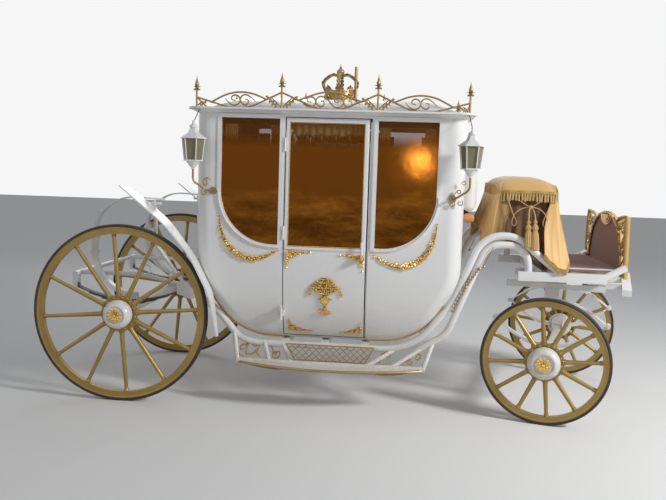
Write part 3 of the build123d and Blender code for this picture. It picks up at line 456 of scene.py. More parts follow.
def flourish(bm, paths, radius, ends=0.0):
    """Flat scroll wires along (ahead, height) points, each with a bud of a size at its end."""
    lines = [tapered(path, lambda x, z: (along_x(x), z * MM, 1.5 * MM), 0.75) for path in paths]
    wires(bm, lines, radius, resolution=3)
    if ends:
        for path in paths:
            put(bm, BUD, *path[-1], size=ends)


def through(points, count):
    """Evenly parametered smooth line through points of any size."""
    points = [Vector(point) for point in points]
    padded = [2 * points[0] - points[1], *points, 2 * points[-1] - points[-2]]
    line = []
    for step in range(count):
        place = step / (count - 1) * (len(points) - 1)
        index = min(int(place), len(points) - 2)
        t = place - index
        a, b, c, d = padded[index : index + 4]
        bend = 2 * b + (c - a) * t + (2 * a - 5 * b + 4 * c - d) * t**2 + (3 * b - a - 3 * c + d) * t**3
        line.append(0.5 * bend)
    return line


def between(path, place):
    """Point at a fractional index of a path."""
    here, there = path[int(place)], path[min(int(place) + 1, len(path) - 1)]
    return Vector(here[:3]).lerp(Vector(there[:3]), place % 1)


def leaf_stamp():
    """Leaf of length one with a raised rib and a drooping tip."""
    bm = bmesh.new()
    bmesh.ops.create_grid(bm, x_segments=6, y_segments=2, size=0.5)
    for vert in bm.verts:
        along, edge = vert.co.x + 0.5, 2 * vert.co.y
        half = 0.3 * sin(pi * along**0.75) * (1 + 0.25 * cos(6 * pi * along) * abs(edge))
        vert.co = (along, edge * half, 0.2 * sin(pi * along) * (1 - 0.6 * abs(edge)))
    bmesh.ops.remove_doubles(bm, verts=bm.verts, dist=1e-4)
    bmesh.ops.solidify(bm, geom=bm.faces[:], thickness=0.06)
    bmesh.ops.recalc_face_normals(bm, faces=bm.faces)
    return as_stamp(bm)


def rose_stamp():
    """Five-lobed rose of radius one, flat behind."""
    bm = bmesh.new()
    bmesh.ops.create_uvsphere(bm, u_segments=15, v_segments=7, radius=1.0)
    for vert in bm.verts:
        turn = atan2(vert.co.y, vert.co.x)
        out = sqrt(vert.co.x**2 + vert.co.y**2)
        lobe = 1 - 0.24 * (0.5 - 0.5 * cos(5 * (turn + 0.5 * vert.co.z)))
        vert.co.x *= lobe
        vert.co.y *= lobe
        vert.co.z = max(vert.co.z, -0.3) * 0.55 + 0.2 * cos(9 * out)
    return as_stamp(bm)


def bud_stamp():
    """Round bud of radius one."""
    bm = bmesh.new()
    bmesh.ops.create_icosphere(bm, subdivisions=1, radius=1.0)
    return as_stamp(bm)


LEAF, ROSE, BUD = leaf_stamp(), rose_stamp(), bud_stamp()
SKIN_REACH = 1.2
FLAT_SIDE = -0.6


def coach_skin():
    """Outer faces of the near side, for ornaments to lie on."""
    bm = bmesh.new()
    for node in ("side_right", "door_right"):
        bm.from_mesh(frame["nodes"][node].data)
    return BVHTree.FromBMesh(bm)


SKIN = coach_skin()


def side_face(x, z):
    """How far across the near side's face is, where the coach has one."""
    hit = SKIN.ray_cast(Vector((x, -SKIN_REACH, z)), Vector((0, 1, 0)))
    return hit[0].y if hit[0] else FLAT_SIDE


def lay_on_side(bm):
    """Wrap a flat ornament, drawn as (along, up, thickness), over the near side."""
    for vert in bm.verts:
        x, z, lift = vert.co
        vert.co = (x, side_face(x, z) - lift, z)


def stand_on_edge(bm, across):
    """Turn a flat ornament upright along the coach, around a distance across or a function of height."""
    for vert in bm.verts:
        x, z, lift = vert.co
        y = across(z / MM) if callable(across) else across
        vert.co = (x, y * MM - lift, z)


# Colours and sizes that a user would change


def colour_property(name, description, default):
    return FloatVectorProperty(
        name=name, description=description, subtype="COLOR", size=3, min=0, max=1, default=default
    )


class CoachPaint(bpy.types.PropertyGroup):
    """Colours of the coach's finishes."""

    white: colour_property("Body white", "Gloss paint of body and frame", (0.8, 0.8, 0.79))
    wheel: colour_property("Wheel gold", "Ochre gold of rims and spokes", (0.42, 0.275, 0.08))
    gilt: colour_property("Gilt", "Bright gold of ornaments", (0.95, 0.62, 0.2))
    # Painted shade: this duller gilt is partly a darker copy of the bright gilt, standing in for gold seen
    # against the light
    shaded_gold: colour_property("Shaded gilt", "Duller gold of the roof rail, lattices and dash", (0.42, 0.28, 0.115))
    film: colour_property("Window film", "Bronze film of the windows", (0.25, 0.08, 0.01))
    # Painted reflection: lighter warm patches painted on the window film
    glow: colour_property("Film glow", "Lighter patches of the film", (0.66, 0.26, 0.035))
    satin: colour_property("Satin", "Gold satin over the driver's seat", (0.7, 0.42, 0.14))
    mauve: colour_property("Mauve", "Carpet and inner face of the dash", (0.3, 0.19, 0.19))
    leather: colour_property("Leather", "Driver's padded backrest", (0.78, 0.77, 0.74))


class CoachTrim(bpy.types.PropertyGroup):
    """Sizes of trim, in millimetres."""

    bead: FloatProperty(name="Edge bead", description="Radius of the bead round the body", default=5, min=1)
    strand: FloatProperty(name="Fringe strand", description="Width of a fringe strand", default=10, min=3)
    drop: FloatProperty(name="Fringe drop", description="Length of the upper fringe", default=54, min=10)
    fold: FloatProperty(name="Fold depth", description="Depth of the cloth's folds", default=16, min=0)


def trim():
    return bpy.context.scene.coach_trim


# Finishes of the nodes that don't wear their slot's own
NODE_FINISHES = {
    "rear_springs": "dark_steel",
    "benches": "cabin_cloth",
    "seat_cushions": "cabin_cloth",
    "seat_box": "brown_lining",
    "gallery": "aged_gilt",
    "crown": "aged_gilt",
    "lattice_right": "aged_gilt",
    "lattice_left": "aged_gilt",
    "lamp_brackets": "aged_gilt",
}


class COACH_OT_mix_finishes(bpy.types.Operator):
    """Mix the coach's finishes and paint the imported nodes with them"""

    bl_idname = "coach.mix_finishes"
    bl_label = "Mix finishes"

    def execute(self, context):
        colours = context.scene.coach_paint
        gloss_paint("white_paint", colours.white, 2.6)
        worn_gold("wheel_gold", colours.wheel, 0.45, 0.3, 0.18)
        worn_gold("gold_trim", colours.gilt, 0.8, 0.22, 0.3, shade_reach=6)
        # Painted shade: a darker, duller copy of the gilt for the roof rail, crown, lattices, scrolls and
        # dash, partly for their shade against the light
        worn_gold("aged_gilt", colours.shaded_gold, 0.6, 0.3, 0.3, shade_reach=14)
        # Painted shade: a dark copy of the gilt for the plates behind the reliefs, standing in for the shade
        # between leaves and roses
        worn_gold("dark_gilt", shade(colours.gilt, 0.35), 0.6, 0.4, 0.3)
        solid_rubber("tyre")
        mirror_film("bronze_glass", colours.film, colours.glow)
        woven("gold_satin", colours.satin, 0.42, 0.3, 0.25)
        woven("mauve_cloth", colours.mauve, 0.85, 0.25, 0.6, 500.0)
        # Painted shade: the lining inside the seat's drapes is far darker than the satin, partly its own
        # brown and partly shade inside the seat box
        woven("brown_lining", (0.17, 0.085, 0.04), 0.75, 0.15, 0.5, 700.0)
        woven("cabin_cloth", (0.36, 0.2, 0.13), 0.7, 0.3, 0.4, 600.0)
        woven("curtain_cloth", (0.85, 0.55, 0.22), 0.55, 0.4, 0.4, 700.0)
        # Painted shade: the turned-in cloth is the satin at half its brightness, partly its duller back and
        # partly shade
        woven("satin_reverse", shade(colours.satin, 0.5), 0.55, 0.2, 0.3)
        strands("thread", (0.72, 0.46, 0.17))
        strands("dark_thread", (0.62, 0.38, 0.1))
        hide("white_leather", colours.leather)
        hide("tan_leather", (0.62, 0.28, 0.11))
        spring_steel("dark_steel", (0.075, 0.08, 0.09))
        lamp_pane("lamp_glass", (0.36, 0.33, 0.2))
        boards("floor_wood", (0.32, 0.2, 0.12))
        slots = {part["node"]: part["material_slot"] for part in frame["record"]["subparts"]}
        for name, node in frame["nodes"].items():
            for slot in node.material_slots:
                slot.material = bpy.data.materials[NODE_FINISHES.get(name, slots[name])]
        return {"FINISHED"}


# Wheels

SPOKES = 12
FIRST_SPOKE = radians(5)
TYRE_DEPTH = 18
RIM_DEPTH = {"rear": 46, "front": 38}
CAP_RADIUS = {"rear": 95, "front": 103}
CAP_FACE = 101
ROOT_REACH = 112
TIP_BACK = 21
BOSS_REACH = 107
BOSS_FACE = 18
SPOKE_ROOT = ((16, 0), (21, 1), (23, 5), (20.5, 9), (19, 11), (21.5, 14), (21, 19), (17, 22), (15, 22))
SPOKE_TIP = ((11.5, 0), (15, 2), (16.5, 6), (14, 10), (15, 13), (17, 18), (12, 20))
BOSS = ((0, 9), (5, 8), (8, 5), (9, 0))
# Section of the bead on the rim, back from the rim's edge and out from the wheel's middle
RIM_BEAD = ((1.5, 19), (6, 21.5), (11, 19), (6, 16), (1.5, 19))
# Section of the ring on the hub, as a share of the cap's radius and out from the cap's face
HUB_RING = ((0.6, -9), (0.6, 1), (0.66, 4), (0.76, 2), (0.9, -12), (0.99, -30), (1.02, -44), (1, -54))
HUB_RING += ((0.9, -58), (0.6, -9))
# Petals, their length, where they start and how far out they lie, for each round of the rosette
ROSETTE = ((11, 46, 10, 1), (8, 33, 6, 5), (5, 20, 3, 9))


def wheel_places():
    """Name, body, radius and a matrix at each wheel's middle that looks outwards along Z."""
    for joint in frame["record"]["behaviour"]["joints"]:
        if not joint["name"].endswith("_spin"):
            continue
        name = joint["name"].removesuffix("_spin")
        axle = Vector(joint["axis"]).normalized()
        ahead = axle.cross(Vector((0, 0, 1)))
        out = axle * (-1 if name.endswith(NEAR) else 1)
        place = Matrix((ahead, out.cross(ahead), out)).transposed().to_4x4()
        place.translation = Vector(joint["pos_m"])
        low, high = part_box(f"tyre_{name}")
        yield name, joint["child"], (high[2] - low[2]) / 2 / MM, place


class COACH_OT_dress_wheels(bpy.types.Operator):
    """Add collars, bosses, rim beads, hub rings and rosettes to the four wheels"""

    bl_idname = "coach.dress_wheels"
    bl_label = "Dress wheels"

    def execute(self, context):
        root, tip, boss = turned(SPOKE_ROOT), turned(SPOKE_TIP), turned(BOSS, 10)
        for name, body, radius, place in wheel_places():
            axle = name.split("_")[0]
            edge = radius - TYRE_DEPTH
            collars = bmesh.new()
            for index in range(SPOKES):
                turn = FIRST_SPOKE + index * 2 * pi / SPOKES
                spoke = place @ spin(turn) @ spin(pi / 2, "Y")
                press(collars, root, spoke @ at((0, 0, ROOT_REACH * MM)))
                press(collars, tip, spoke @ at((0, 0, (edge - RIM_DEPTH[axle] - TIP_BACK) * MM)))
                half = turn + pi / SPOKES
                seat = Vector((BOSS_REACH * cos(half), BOSS_REACH * sin(half), BOSS_FACE)) * MM
                press(collars, boss, place @ at(seat))
            add_piece(f"spoke_collars_{name}", collars, "wheel_gold", body)
            cap = CAP_RADIUS[axle]
            for word, section, steps, finish in (
                ("rim_bead", [(edge - back, out) for back, out in RIM_BEAD], 96, "wheel_gold"),
                ("hub_ring", [(share * cap, CAP_FACE + out) for share, out in HUB_RING], 64, "white_paint"),
            ):
                ring = bmesh.new()
                press(ring, turned(section, steps), place)
                add_piece(f"{word}_{name}", ring, finish, body)
            rosette = bmesh.new()
            for count, reach, start, lift in ROSETTE:
                size = Matrix.Diagonal((reach * MM, 0.9 * reach * MM, 0.7 * reach * MM, 1))
                petal = at((start * MM, 0, 0)) @ spin(-0.12 * lift**0.5, "Y") @ size
                for index in range(count):
                    turn = 2 * pi * (index + 0.5 * lift) / count
                    press(rosette, LEAF, place @ flat_turn(0, 0, (CAP_FACE + lift) * MM, turn) @ petal)
            for index in range(6):
                seat = Vector((7 * cos(2 * pi * index / 6), 7 * sin(2 * pi * index / 6), CAP_FACE + 16)) * MM
                press(rosette, BUD, place @ at(seat) @ grow(5 * MM))
            press(rosette, BUD, place @ at(Vector((0, 0, CAP_FACE + 19)) * MM) @ grow(6 * MM))
            add_piece(f"hub_rosette_{name}", rosette, "gold_trim", body)
        return {"FINISHED"}


# Gilding on the body

# Corner point, ways along the sill and up the stile, and both reaches of the door panel's ornaments
DOOR_CORNERS = (
    ((1111, 1064), 1, -1, 156, 112),
    ((1622, 1052), -1, -1, 150, 104),
    ((1126, 505), 1, 1, 156, 84),
    ((1618, 503), -1, 1, 144, 78),
)
CORNER_PITCH = 12.5
URN_MIDDLE = 1373
HALF_VASE = [(0, 689), (9, 690), (13, 700), (26, 720), (32, 736), (28, 748), (31, 752), (12, 760), (13, 768)]
HALF_FOOT = [(0, 640), (10, 634), (28, 633), (41, 642), (43, 656), (34, 668), (20, 670), (10, 664), (8, 690)]
URN_HANDLE = ((30, 742), (38, 750), (46, 744), (44, 736), (38, 738))
URN_FOOT_ROSE = (24, 652)
# Height and half width of the bouquet
BOUQUET_EDGE = ((764, 13), (777, 26), (792, 50), (803, 84), (814, 110), (828, 95), (846, 72), (870, 50))
BOUQUET_EDGE += ((890, 26),)
BOUQUET_PITCH = 13.5
GARLAND_REAR = [(650, 1284), (660, 1210), (680, 1144), (712, 1086), (755, 1043), (806, 1012), (860, 999)]
GARLAND_REAR += [(915, 1003), (967, 1020), (1015, 1042), (1062, 1064)]
GARLAND_FRONT = [(1681, 1057), (1728, 1030), (1780, 1005), (1838, 990), (1896, 990), (1956, 1010)]
GARLAND_FRONT += [(2006, 1045), (2043, 1094), (2067, 1148), (2084, 1212), (2093, 1277)]
GARLAND_STEPS = 36
ROPE_REAR = [(645, 1440), (652, 1372), (684, 1280), (750, 1190), (835, 1127), (920, 1095), (1005, 1085)]
ROPE_REAR += [(1056, 1084)]
ROPE_MIDDLE = 2740
ROPE_TURNS = 62
PANE_REBATE = 3 * MM
BEAD_REAR = [(585, 735), (637, 652), (699, 575), (792, 503), (900, 458), (1017, 443), (1082, 443)]
BEAD_FRONT = [(1664, 443), (1741, 443), (1858, 458), (1966, 503), (2060, 575), (2122, 653), (2165, 722)]
# The seal in the door's front gap: its middle, the side panel's face beside it and how far it lies back
SEAL_X, SEAL_BESIDE, SEAL_BACK = 1646, 1656, 7


def scatter(bm, x, z, heading, lift, size, chance):
    """One rose, bud or leaf of a dense relief, at (ahead, height)."""
    kind = chance.random()
    if kind < 0.36:
        put(bm, ROSE, x, z, lift, chance.uniform(0, 6), 0.85 * size)
    elif kind < 0.84:
        x, z = x - 0.9 * size * cos(heading), z - 0.9 * size * sin(heading)
        put(bm, LEAF, x, z, lift, heading, 2.3 * size, -0.35)
    else:
        put(bm, BUD, x, z, lift, chance.uniform(0, 6), 0.5 * size)


def plate(bm, outline, base=0.4, thickness=1.5):
    """Flat plate from an (ahead, height) outline; gives its front face."""
    back = bm.faces.new([bm.verts.new((along_x(x), z * MM, base * MM)) for x, z in outline])
    raised = bmesh.ops.extrude_face_region(bm, geom=[back])["geom"]
    top = [item for item in raised if isinstance(item, bmesh.types.BMVert)]
    bmesh.ops.translate(bm, vec=(0, 0, thickness * MM), verts=top)
    return [item for item in raised if isinstance(item, bmesh.types.BMFace)]


def door_corner(bm, shade_plates, corner, right, up, long, tall, chance):
    """Leafy triangle in a corner of the door panel, thickest at the corner."""

    def edge_height(share):
        return tall * (0.14 + 0.5 * max(1 - share * 1.1, 0) ** 1.2 + 0.36 * max(1 - share * 6, 0))

    def inward(x, z):
        return corner[0] + right * x, corner[1] + up * z

    # Dark plates under the relief paint the shade between its leaves
    for column in range(int(0.8 * long / CORNER_PITCH)):
        high = max(0.62 * edge_height((column + 0.6) * CORNER_PITCH / long), 5)
        left = 4 + column * CORNER_PITCH
        cell = ((left, 4), (left + CORNER_PITCH, 4), (left + CORNER_PITCH, high), (left, high))
        plate(shade_plates, [inward(*point) for point in cell])
    for column in range(int(long / CORNER_PITCH) + 1):
        x = 4 + column * CORNER_PITCH
        rows = max(int(edge_height(x / long) / CORNER_PITCH), 1)
        for row in range(rows):
            z = 5 + row * CORNER_PITCH + (4 if column % 2 and rows > 1 else 0)
            heading = atan2(up * (z + 6), right * (x + 6)) + chance.uniform(-0.5, 0.5)
            centre = inward(x + chance.uniform(-2, 2), z + chance.uniform(-2, 2))
            near = max(0, 1 - (x + z) / 90)
            scatter(bm, *centre, heading, 3 + 6 * near, 9.5 + 3 * near, chance)
    for x, z, size in ((24, 24, 19), (58, 20, 12)):
        put(bm, ROSE, *inward(x, z), 8, x, size)
    for x, z in ((long + 3, 5), (4, tall + 2)):
        put(bm, BUD, *inward(x, z), 4, size=6)


def garland(bm, shade_plates, line, chance, widest=20):
    """Rope of roses, buds and leaves along (ahead, height) points, thickest in the middle."""
    smooth = through(line, 201)
    edges = ([], [])
    for index in range(GARLAND_STEPS + 1):
        share = index / GARLAND_STEPS
        place, before, after = (smooth[round(200 * min(max(share + d, 0), 1))] for d in (0, -0.01, 0.01))
        run = (after - before).normalized()
        across = Vector((-run.y, run.x))
        swell = sin(pi * share) ** 0.8
        width = widest * (0.1 + 0.9 * swell)
        for edge, side in zip(edges, (-1, 1)):
            edge.append(place + side * 0.6 * width * across)
        lanes = max(round(width / 5.2), 1)
        for lane in range(lanes):
            offset = (2 * (lane + 0.5) / lanes - 1) * width
            centre = place + across * (offset + chance.uniform(-3, 3)) + run * chance.uniform(-4, 4)
            heading = atan2(run.y, run.x) + (0 if share > 0.5 else pi) + chance.uniform(-1.1, 1.1)
            lift = 3 + 8 * swell * (1 - (offset / (width + 1)) ** 2)
            scatter(bm, centre.x, centre.y, heading, lift, 7.5 + 3 * swell, chance)
    # Dark plates under the garland paint the shade between its leaves
    for low, high, next_low, next_high in zip(*edges, edges[0][1:], edges[1][1:]):
        plate(shade_plates, (low, next_low, next_high, high))


def urn(bm):
    """Vase on a scrolled foot, with two handles and leaves on it."""
    for half in (HALF_VASE, HALF_FOOT):
        outline = half + [(-x, z) for x, z in reversed(half) if x]
        solid = bmesh.new()
        front = plate(solid, [(URN_MIDDLE + x, z) for x, z in outline], 1, 6)
        bmesh.ops.inset_region(solid, faces=front, thickness=7 * MM, depth=8 * MM)
        bmesh.ops.recalc_face_normals(solid, faces=solid.faces)
        press(bm, as_stamp(solid), Matrix.Identity(4))
    flourish(bm, [[(URN_MIDDLE + side * x, z) for x, z in URN_HANDLE] for side in (-1, 1)], 2.8)
    for lean in (-0.5, 0, 0.5):
        for z, size in ((702, 40), (668, -30)):
            put(bm, LEAF, URN_MIDDLE, z, 11, pi / 2 + lean, size)
    x, z = URN_FOOT_ROSE
    for side in (-1, 1):
        for turn in range(6):
            put(bm, LEAF, URN_MIDDLE + side * x, z, 11, pi / 2 - side * (0.5 + turn * 0.9), 22, -0.3)
        put(bm, BUD, URN_MIDDLE + side * x, z, 15, size=6)


def bouquet(bm, shade_plates, chance):
    """Flowers that stand out of the urn, with a sprig drooping at each side."""
    # Dark plates behind the bouquet paint the shade between its flowers
    for (z0, x0), (z1, x1) in zip(BOUQUET_EDGE, BOUQUET_EDGE[1:]):
        cell = ((-0.8 * x0, z0), (0.8 * x0, z0), (0.8 * x1, z1), (-0.8 * x1, z1))
        plate(shade_plates, [(URN_MIDDLE + x, z) for x, z in cell])
    for (z0, x0), (z1, x1) in zip(BOUQUET_EDGE, BOUQUET_EDGE[1:]):
        rows = max(round((z1 - z0) / BOUQUET_PITCH), 1)
        for row in range(rows):
            share = (row + 0.5) / rows
            z, half = z0 + (z1 - z0) * share, x0 + (x1 - x0) * share
            count = max(round(half / BOUQUET_PITCH), 1)
            for index in range(-count, count + 1):
                x = half * index / (count + 0.3) + chance.uniform(-2, 2)
                lift = 4 + 13 * max(1 - (x / 112) ** 2 - abs(z - 826) / 130, 0)
                heading = atan2(z - 770, x) + chance.uniform(-0.7, 0.7)
                scatter(bm, URN_MIDDLE + x, z + chance.uniform(-3, 3), heading, lift, 10, chance)
    for side in (-1, 1):
        for x, z in ((104, 798), (111, 786), (107, 775)):
            for lean in (-0.6, 0.2):
                put(bm, LEAF, URN_MIDDLE + side * x, z, 3, -pi / 2 + side * (0.3 + lean), 19, -0.3)
            put(bm, ROSE, URN_MIDDLE + side * x, z, 6, x, 7.5)


def belly_bead(bm, points):
    """Twisted bead along the lower edge of the near side, at (ahead, height) points."""
    bead = trim().bead
    smooth = through(points, 60)
    path = []
    for x, z in smooth:
        path.append((along_x(x), side_face(along_x(x), (z + 12) * MM) - 3 * MM, (z + 6) * MM))
    wires(bm, [path], bead, resolution=2, sides=1)
    total = sum((b - a).length for a, b in zip(smooth, smooth[1:]))
    count = int(total / (2.2 * bead))
    for index in range(count):
        seat = at(between(path, index / (count - 1) * (len(path) - 1))) @ spin(0.6, "Y")
        press(bm, BUD, seat @ Matrix.Diagonal((1.5 * bead * MM, 1.5 * bead * MM, 0.9 * bead * MM, 1)))


def white_rope(bm, points):
    """Twisted moulding below a quarter window, at (ahead, height) points."""
    path = [(along_x(x), z * MM) for x, z in through(points, 41)]
    path = [Vector((x, side_face(x, z) - 2 * MM, z)) for x, z in path]
    wires(bm, [path], 6, resolution=2, sides=1)
    for index in range(ROPE_TURNS):
        place, ahead = (path[round(40 * min(index + d, ROPE_TURNS) / ROPE_TURNS)] for d in (0, 1.5))
        heading = atan2((ahead - place).z, (ahead - place).x)
        seat = at(between(path, 40 * index / ROPE_TURNS)) @ spin(-heading - 0.7, "Y")
        press(bm, BUD, seat @ Matrix.Diagonal((11 * MM, 7.5 * MM, 4.4 * MM, 1)))


class COACH_OT_gild_body(bpy.types.Operator):
    """Add garlands, door corners, the flower urn, ropes, seals, window borders and the belly bead"""

    bl_idname = "coach.gild_body"
    bl_label = "Gild body"

    def execute(self, context):
        chance = random.Random(11)
        panels, panel_shade_plates, door, door_shade_plates = (bmesh.new() for _ in range(4))
        for line in (GARLAND_REAR, GARLAND_FRONT):
            garland(panels, panel_shade_plates, line, chance)
        for corner in DOOR_CORNERS:
            door_corner(door, door_shade_plates, *corner, chance)
        urn(door)
        bouquet(door, door_shade_plates, chance)
        for shade_plates in (panel_shade_plates, door_shade_plates):
            bmesh.ops.recalc_face_normals(shade_plates, faces=shade_plates.faces)
        for name, relief, finish, bodies in (
            ("garlands", panels, "gold_trim", COACH),
            ("garland_shade_plates", panel_shade_plates, "dark_gilt", COACH),
            ("door_gilding", door, "gold_trim", DOORS),
            ("door_gilding_shade_plates", door_shade_plates, "dark_gilt", DOORS),
        ):
            lay_on_side(relief)
            add_both_sides(name, relief, finish, bodies)
        rope, seal, border, bead = (bmesh.new() for _ in range(4))
        white_rope(rope, ROPE_REAR)
        white_rope(rope, [(ROPE_MIDDLE - x, z) for x, z in ROPE_REAR])
        add_both_sides("window_ropes", rope, "white_paint")
        seal_x, beside = along_x(SEAL_X), along_x(SEAL_BESIDE)
        line = [(seal_x, side_face(beside, z * MM) + SEAL_BACK * MM, z * MM) for z in range(478, 1934, 24)]
        wires(seal, [line], 4.6)
        add_both_sides("door_seals", seal, "white_paint")
        low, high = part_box("door_glass_right")
        face = low.y - PANE_REBATE
        x0, x1, z0, z1 = low.x + PANE_REBATE, high.x - PANE_REBATE, low.z + PANE_REBATE, high.z - PANE_REBATE
        corners = [(x0, face, z0), (x1, face, z0), (x1, face, z1), (x0, face, z1), (x0, face, z0)]
        for ends in zip(corners, corners[1:]):
            wires(border, [ends], 2.8, order=2)
        add_both_sides("window_borders", border, "gold_trim", DOORS)
        belly_bead(bead, BEAD_REAR)
        belly_bead(bead, BEAD_FRONT)
        add_both_sides("belly_bead", bead, "gold_trim")
        return {"FINISHED"}


# Roof trim

PLATE_TOP = 1988
GALLERY_Y = 600
# Place and tip of each post of the gallery, with the reach and rise of its leafy stalks and their ways
POSTS = (
    (475, 118, 44, 36, (1,)),
    (1045, 150, 76, 74, (-1, 1)),
    (1678, 150, 76, 74, (-1, 1)),
    (2270, 118, 44, 36, (-1,)),
)
FINIAL = ((5, -8), (9, -4), (6, 2), (7, 8), (14, 24), (15, 32), (9, 50), (4, 66), (0.5, 88))
# Hooked scrolls inside the rail's arches, around their pair's middle
HOOK_REAR = ((-99, 2054), (-82, 2028), (-43, 2006), (-8, 2018), (4, 2047), (-14, 2074), (-45, 2076))
HOOK_REAR += ((-60, 2060), (-52, 2040), (-34, 2042))
HOOK_FRONT = ((111, 2031), (84, 2054), (52, 2079), (20, 2080), (0, 2056), (6, 2026), (36, 2010), (58, 2026))
HOOK_FRONT += ((54, 2052), (38, 2050))
HOOK_MIDDLES = (767, 1270, 1452, 1953)
CROWN_X = 1374
CROWN_RADIUS = 108 * MM
# Arch of the crown, as distance outside the band in metres and height in millimetres, then its inner end
CROWN_ARCH = ((-0.003, 80), (0.018, 118), (0.02, 150), (-0.006, 180))
CROWN_ARCH_TOP = [(0.062, 206), (0.03, 202), (0.008, 196)]
CROWN_KNOB = ((0, -6), (12, -5), (16, 0), (10, 6), (12, 10), (26, 22), (29, 34), (25, 46), (12, 55), (8, 62))
CROWN_KNOB += ((11, 68), (0, 72))


def rail_scrolls(bm):
    """Hooked scrolls inside the gallery's arches and leafy stalks beside its posts."""
    pairs = [(middle, hook) for middle in HOOK_MIDDLES for hook in (HOOK_REAR, HOOK_FRONT)]
    flourish(bm, [[(middle + x, z) for x, z in hook] for middle, hook in pairs], 4.2, ends=6)
    for post, tip, reach, rise, ways in POSTS:
        for way in ways:
            shares = (0, 0.35, 0.7, 1)
            stalk = [(post + way * share * reach, PLATE_TOP + 8 + rise * share**0.8) for share in shares]
            flourish(bm, [stalk], 4.5)
            for share in (0.25, 0.5, 0.75, 1.0):
                size = 1.1 - 0.3 * abs(share - 0.6) if len(ways) > 1 else 0.7
                x, z = post + way * (10 + share * reach), PLATE_TOP + 6 + rise * share**0.8
                for lean, length in ((-0.9, 30), (0.2, 26)):
                    put(bm, LEAF, x, z, angle=lean if way > 0 else pi - lean, size=length * size)
    stand_on_edge(bm, -GALLERY_Y)


def finials(bm):
    """Spear on each post, with two whorls of leaves."""
    spear = turned(FINIAL, 12)
    for post, tip, reach, rise, ways in POSTS:
        top = PLATE_TOP + tip
        press(bm, spear, at(spot(post, -GALLERY_Y, top + 4)))
        for turn in range(4):
            for length, droop in ((30, 0.15), (24, 1.0)):
                seat = at(spot(post, -GALLERY_Y, top + 8)) @ spin(pi / 2 * turn)
                press(bm, LEAF, seat @ spin(droop - 0.6, "Y") @ grow(length * MM))


def crown_leafwork(bm, base):
    """Leaves, roses, beads and leafy arches on the crown, from its base's height in metres, and its knob."""
    middle = along_x(CROWN_X)

    def around(turn, height, reach=CROWN_RADIUS):
        """Point at an angle round the crown's middle."""
        return Vector((middle + reach * cos(turn), reach * sin(turn), base + height * MM))

    def stand_leaf(turn, height, lean, size, out=0):
        """Leaf that stands on the crown at an angle round it."""
        seat = at((middle, 0, base + height * MM)) @ spin(turn) @ at((CROWN_RADIUS + out * MM, 0, 0))
        press(bm, LEAF, seat @ spin(-pi / 2 + lean, "Y") @ grow(size * MM))

    for height, size, lean, start in ((2, 36, 0.12, 0), (30, 32, 0.1, 0.5)):
        for index in range(18):
            stand_leaf(2 * pi * (index + start) / 18, height, lean, size, 1)
    for index in range(24):
        for height in (8, 74):
            press(bm, BUD, at(around(2 * pi * index / 24, height)) @ grow(6.5 * MM))
    for index in range(8):
        turn = 2 * pi * index / 8
        stand_leaf(turn, 80, 0.25, 48)
        for side in (-0.16, 0.16):
            stand_leaf(turn + side, 80, 0.3, 34)
        seat = at(around(turn, 44, 1.03 * CROWN_RADIUS)) @ spin(turn) @ spin(pi / 2, "Y")
        press(bm, ROSE, seat @ grow(13 * MM))
    for index in range(4):
        turn = pi / 2 * index
        outline = [(CROWN_RADIUS + out, height) for out, height in CROWN_ARCH] + CROWN_ARCH_TOP
        path = [around(turn, height, reach) for reach, height in outline]
        wires(bm, [path], 9)
        smooth = through(path, 41)
        out, sideways = Vector((cos(turn), sin(turn), 0.4)), Vector((-sin(turn), cos(turn), 0))
        for share in (0.1, 0.24, 0.38, 0.52, 0.66, 0.8):
            here, there = smooth[int(40 * share)], smooth[int(40 * share) + 2]
            for side in (-1, 1):
                way = ((there - here).normalized() + side * 0.55 * sideways).normalized()
                lift = sideways.cross(way)
                lift *= 1 if lift.dot(out) > 0 else -1
                seat = Matrix((way, lift.cross(way), lift)).transposed().to_4x4()
                seat.translation = here
                press(bm, LEAF, seat @ grow(34 * MM))
    press(bm, turned(CROWN_KNOB, 20), at((middle, 0, base + 190 * MM)))
    bmesh.ops.recalc_face_normals(bm, faces=bm.faces)


class COACH_OT_trim_roof(bpy.types.Operator):
    """Add scrolls, leaves and finials to the gallery and leafwork to the crown"""

    bl_idname = "coach.trim_roof"
    bl_label = "Trim roof"

    def execute(self, context):
        rail, spears, crown = (bmesh.new() for _ in range(3))
        rail_scrolls(rail)
        add_both_sides("gallery_scrolls", rail, "aged_gilt")
        finials(spears)
        add_both_sides("gallery_finials", spears, "aged_gilt")
        crown_leafwork(crown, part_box("crown")[0][2])
        add_piece("crown_leaves", crown, "aged_gilt")
        return {"FINISHED"}


# Cloth

DRAPE_TOP = 1492
# Heights of hems, as (share along the edge, height)
REAR_HEM = ((0.0, 1198), (0.05, 1164), (0.09, 1160), (0.14, 1198), (0.22, 1270), (0.5, 1284), (0.78, 1270))
REAR_HEM += ((0.86, 1198), (0.91, 1160), (0.95, 1164), (1.0, 1198))
FRONT_HEM = ((0.0, 1098), (0.035, 1052), (0.07, 1012), (0.1, 1004), (0.14, 1072), (0.2, 1080), (0.5, 1090))
FRONT_HEM += ((0.8, 1080), (0.86, 1072), (0.9, 1004), (0.93, 1012), (0.965, 1052), (1.0, 1098))
LINING_HEM = ((0.0, 1240), (0.25, 1206), (0.45, 1180), (0.56, 1128), (0.68, 1104), (0.85, 1084), (1.0, 1078))
LINING_TOP = 1480
EDGE_STEPS = 160
HEM_PITCH = 7.5
# Steps of the turned edges and of the linings' hems that other cloth hides
HIDDEN_EDGE, HIDDEN_HEM = 30, 84


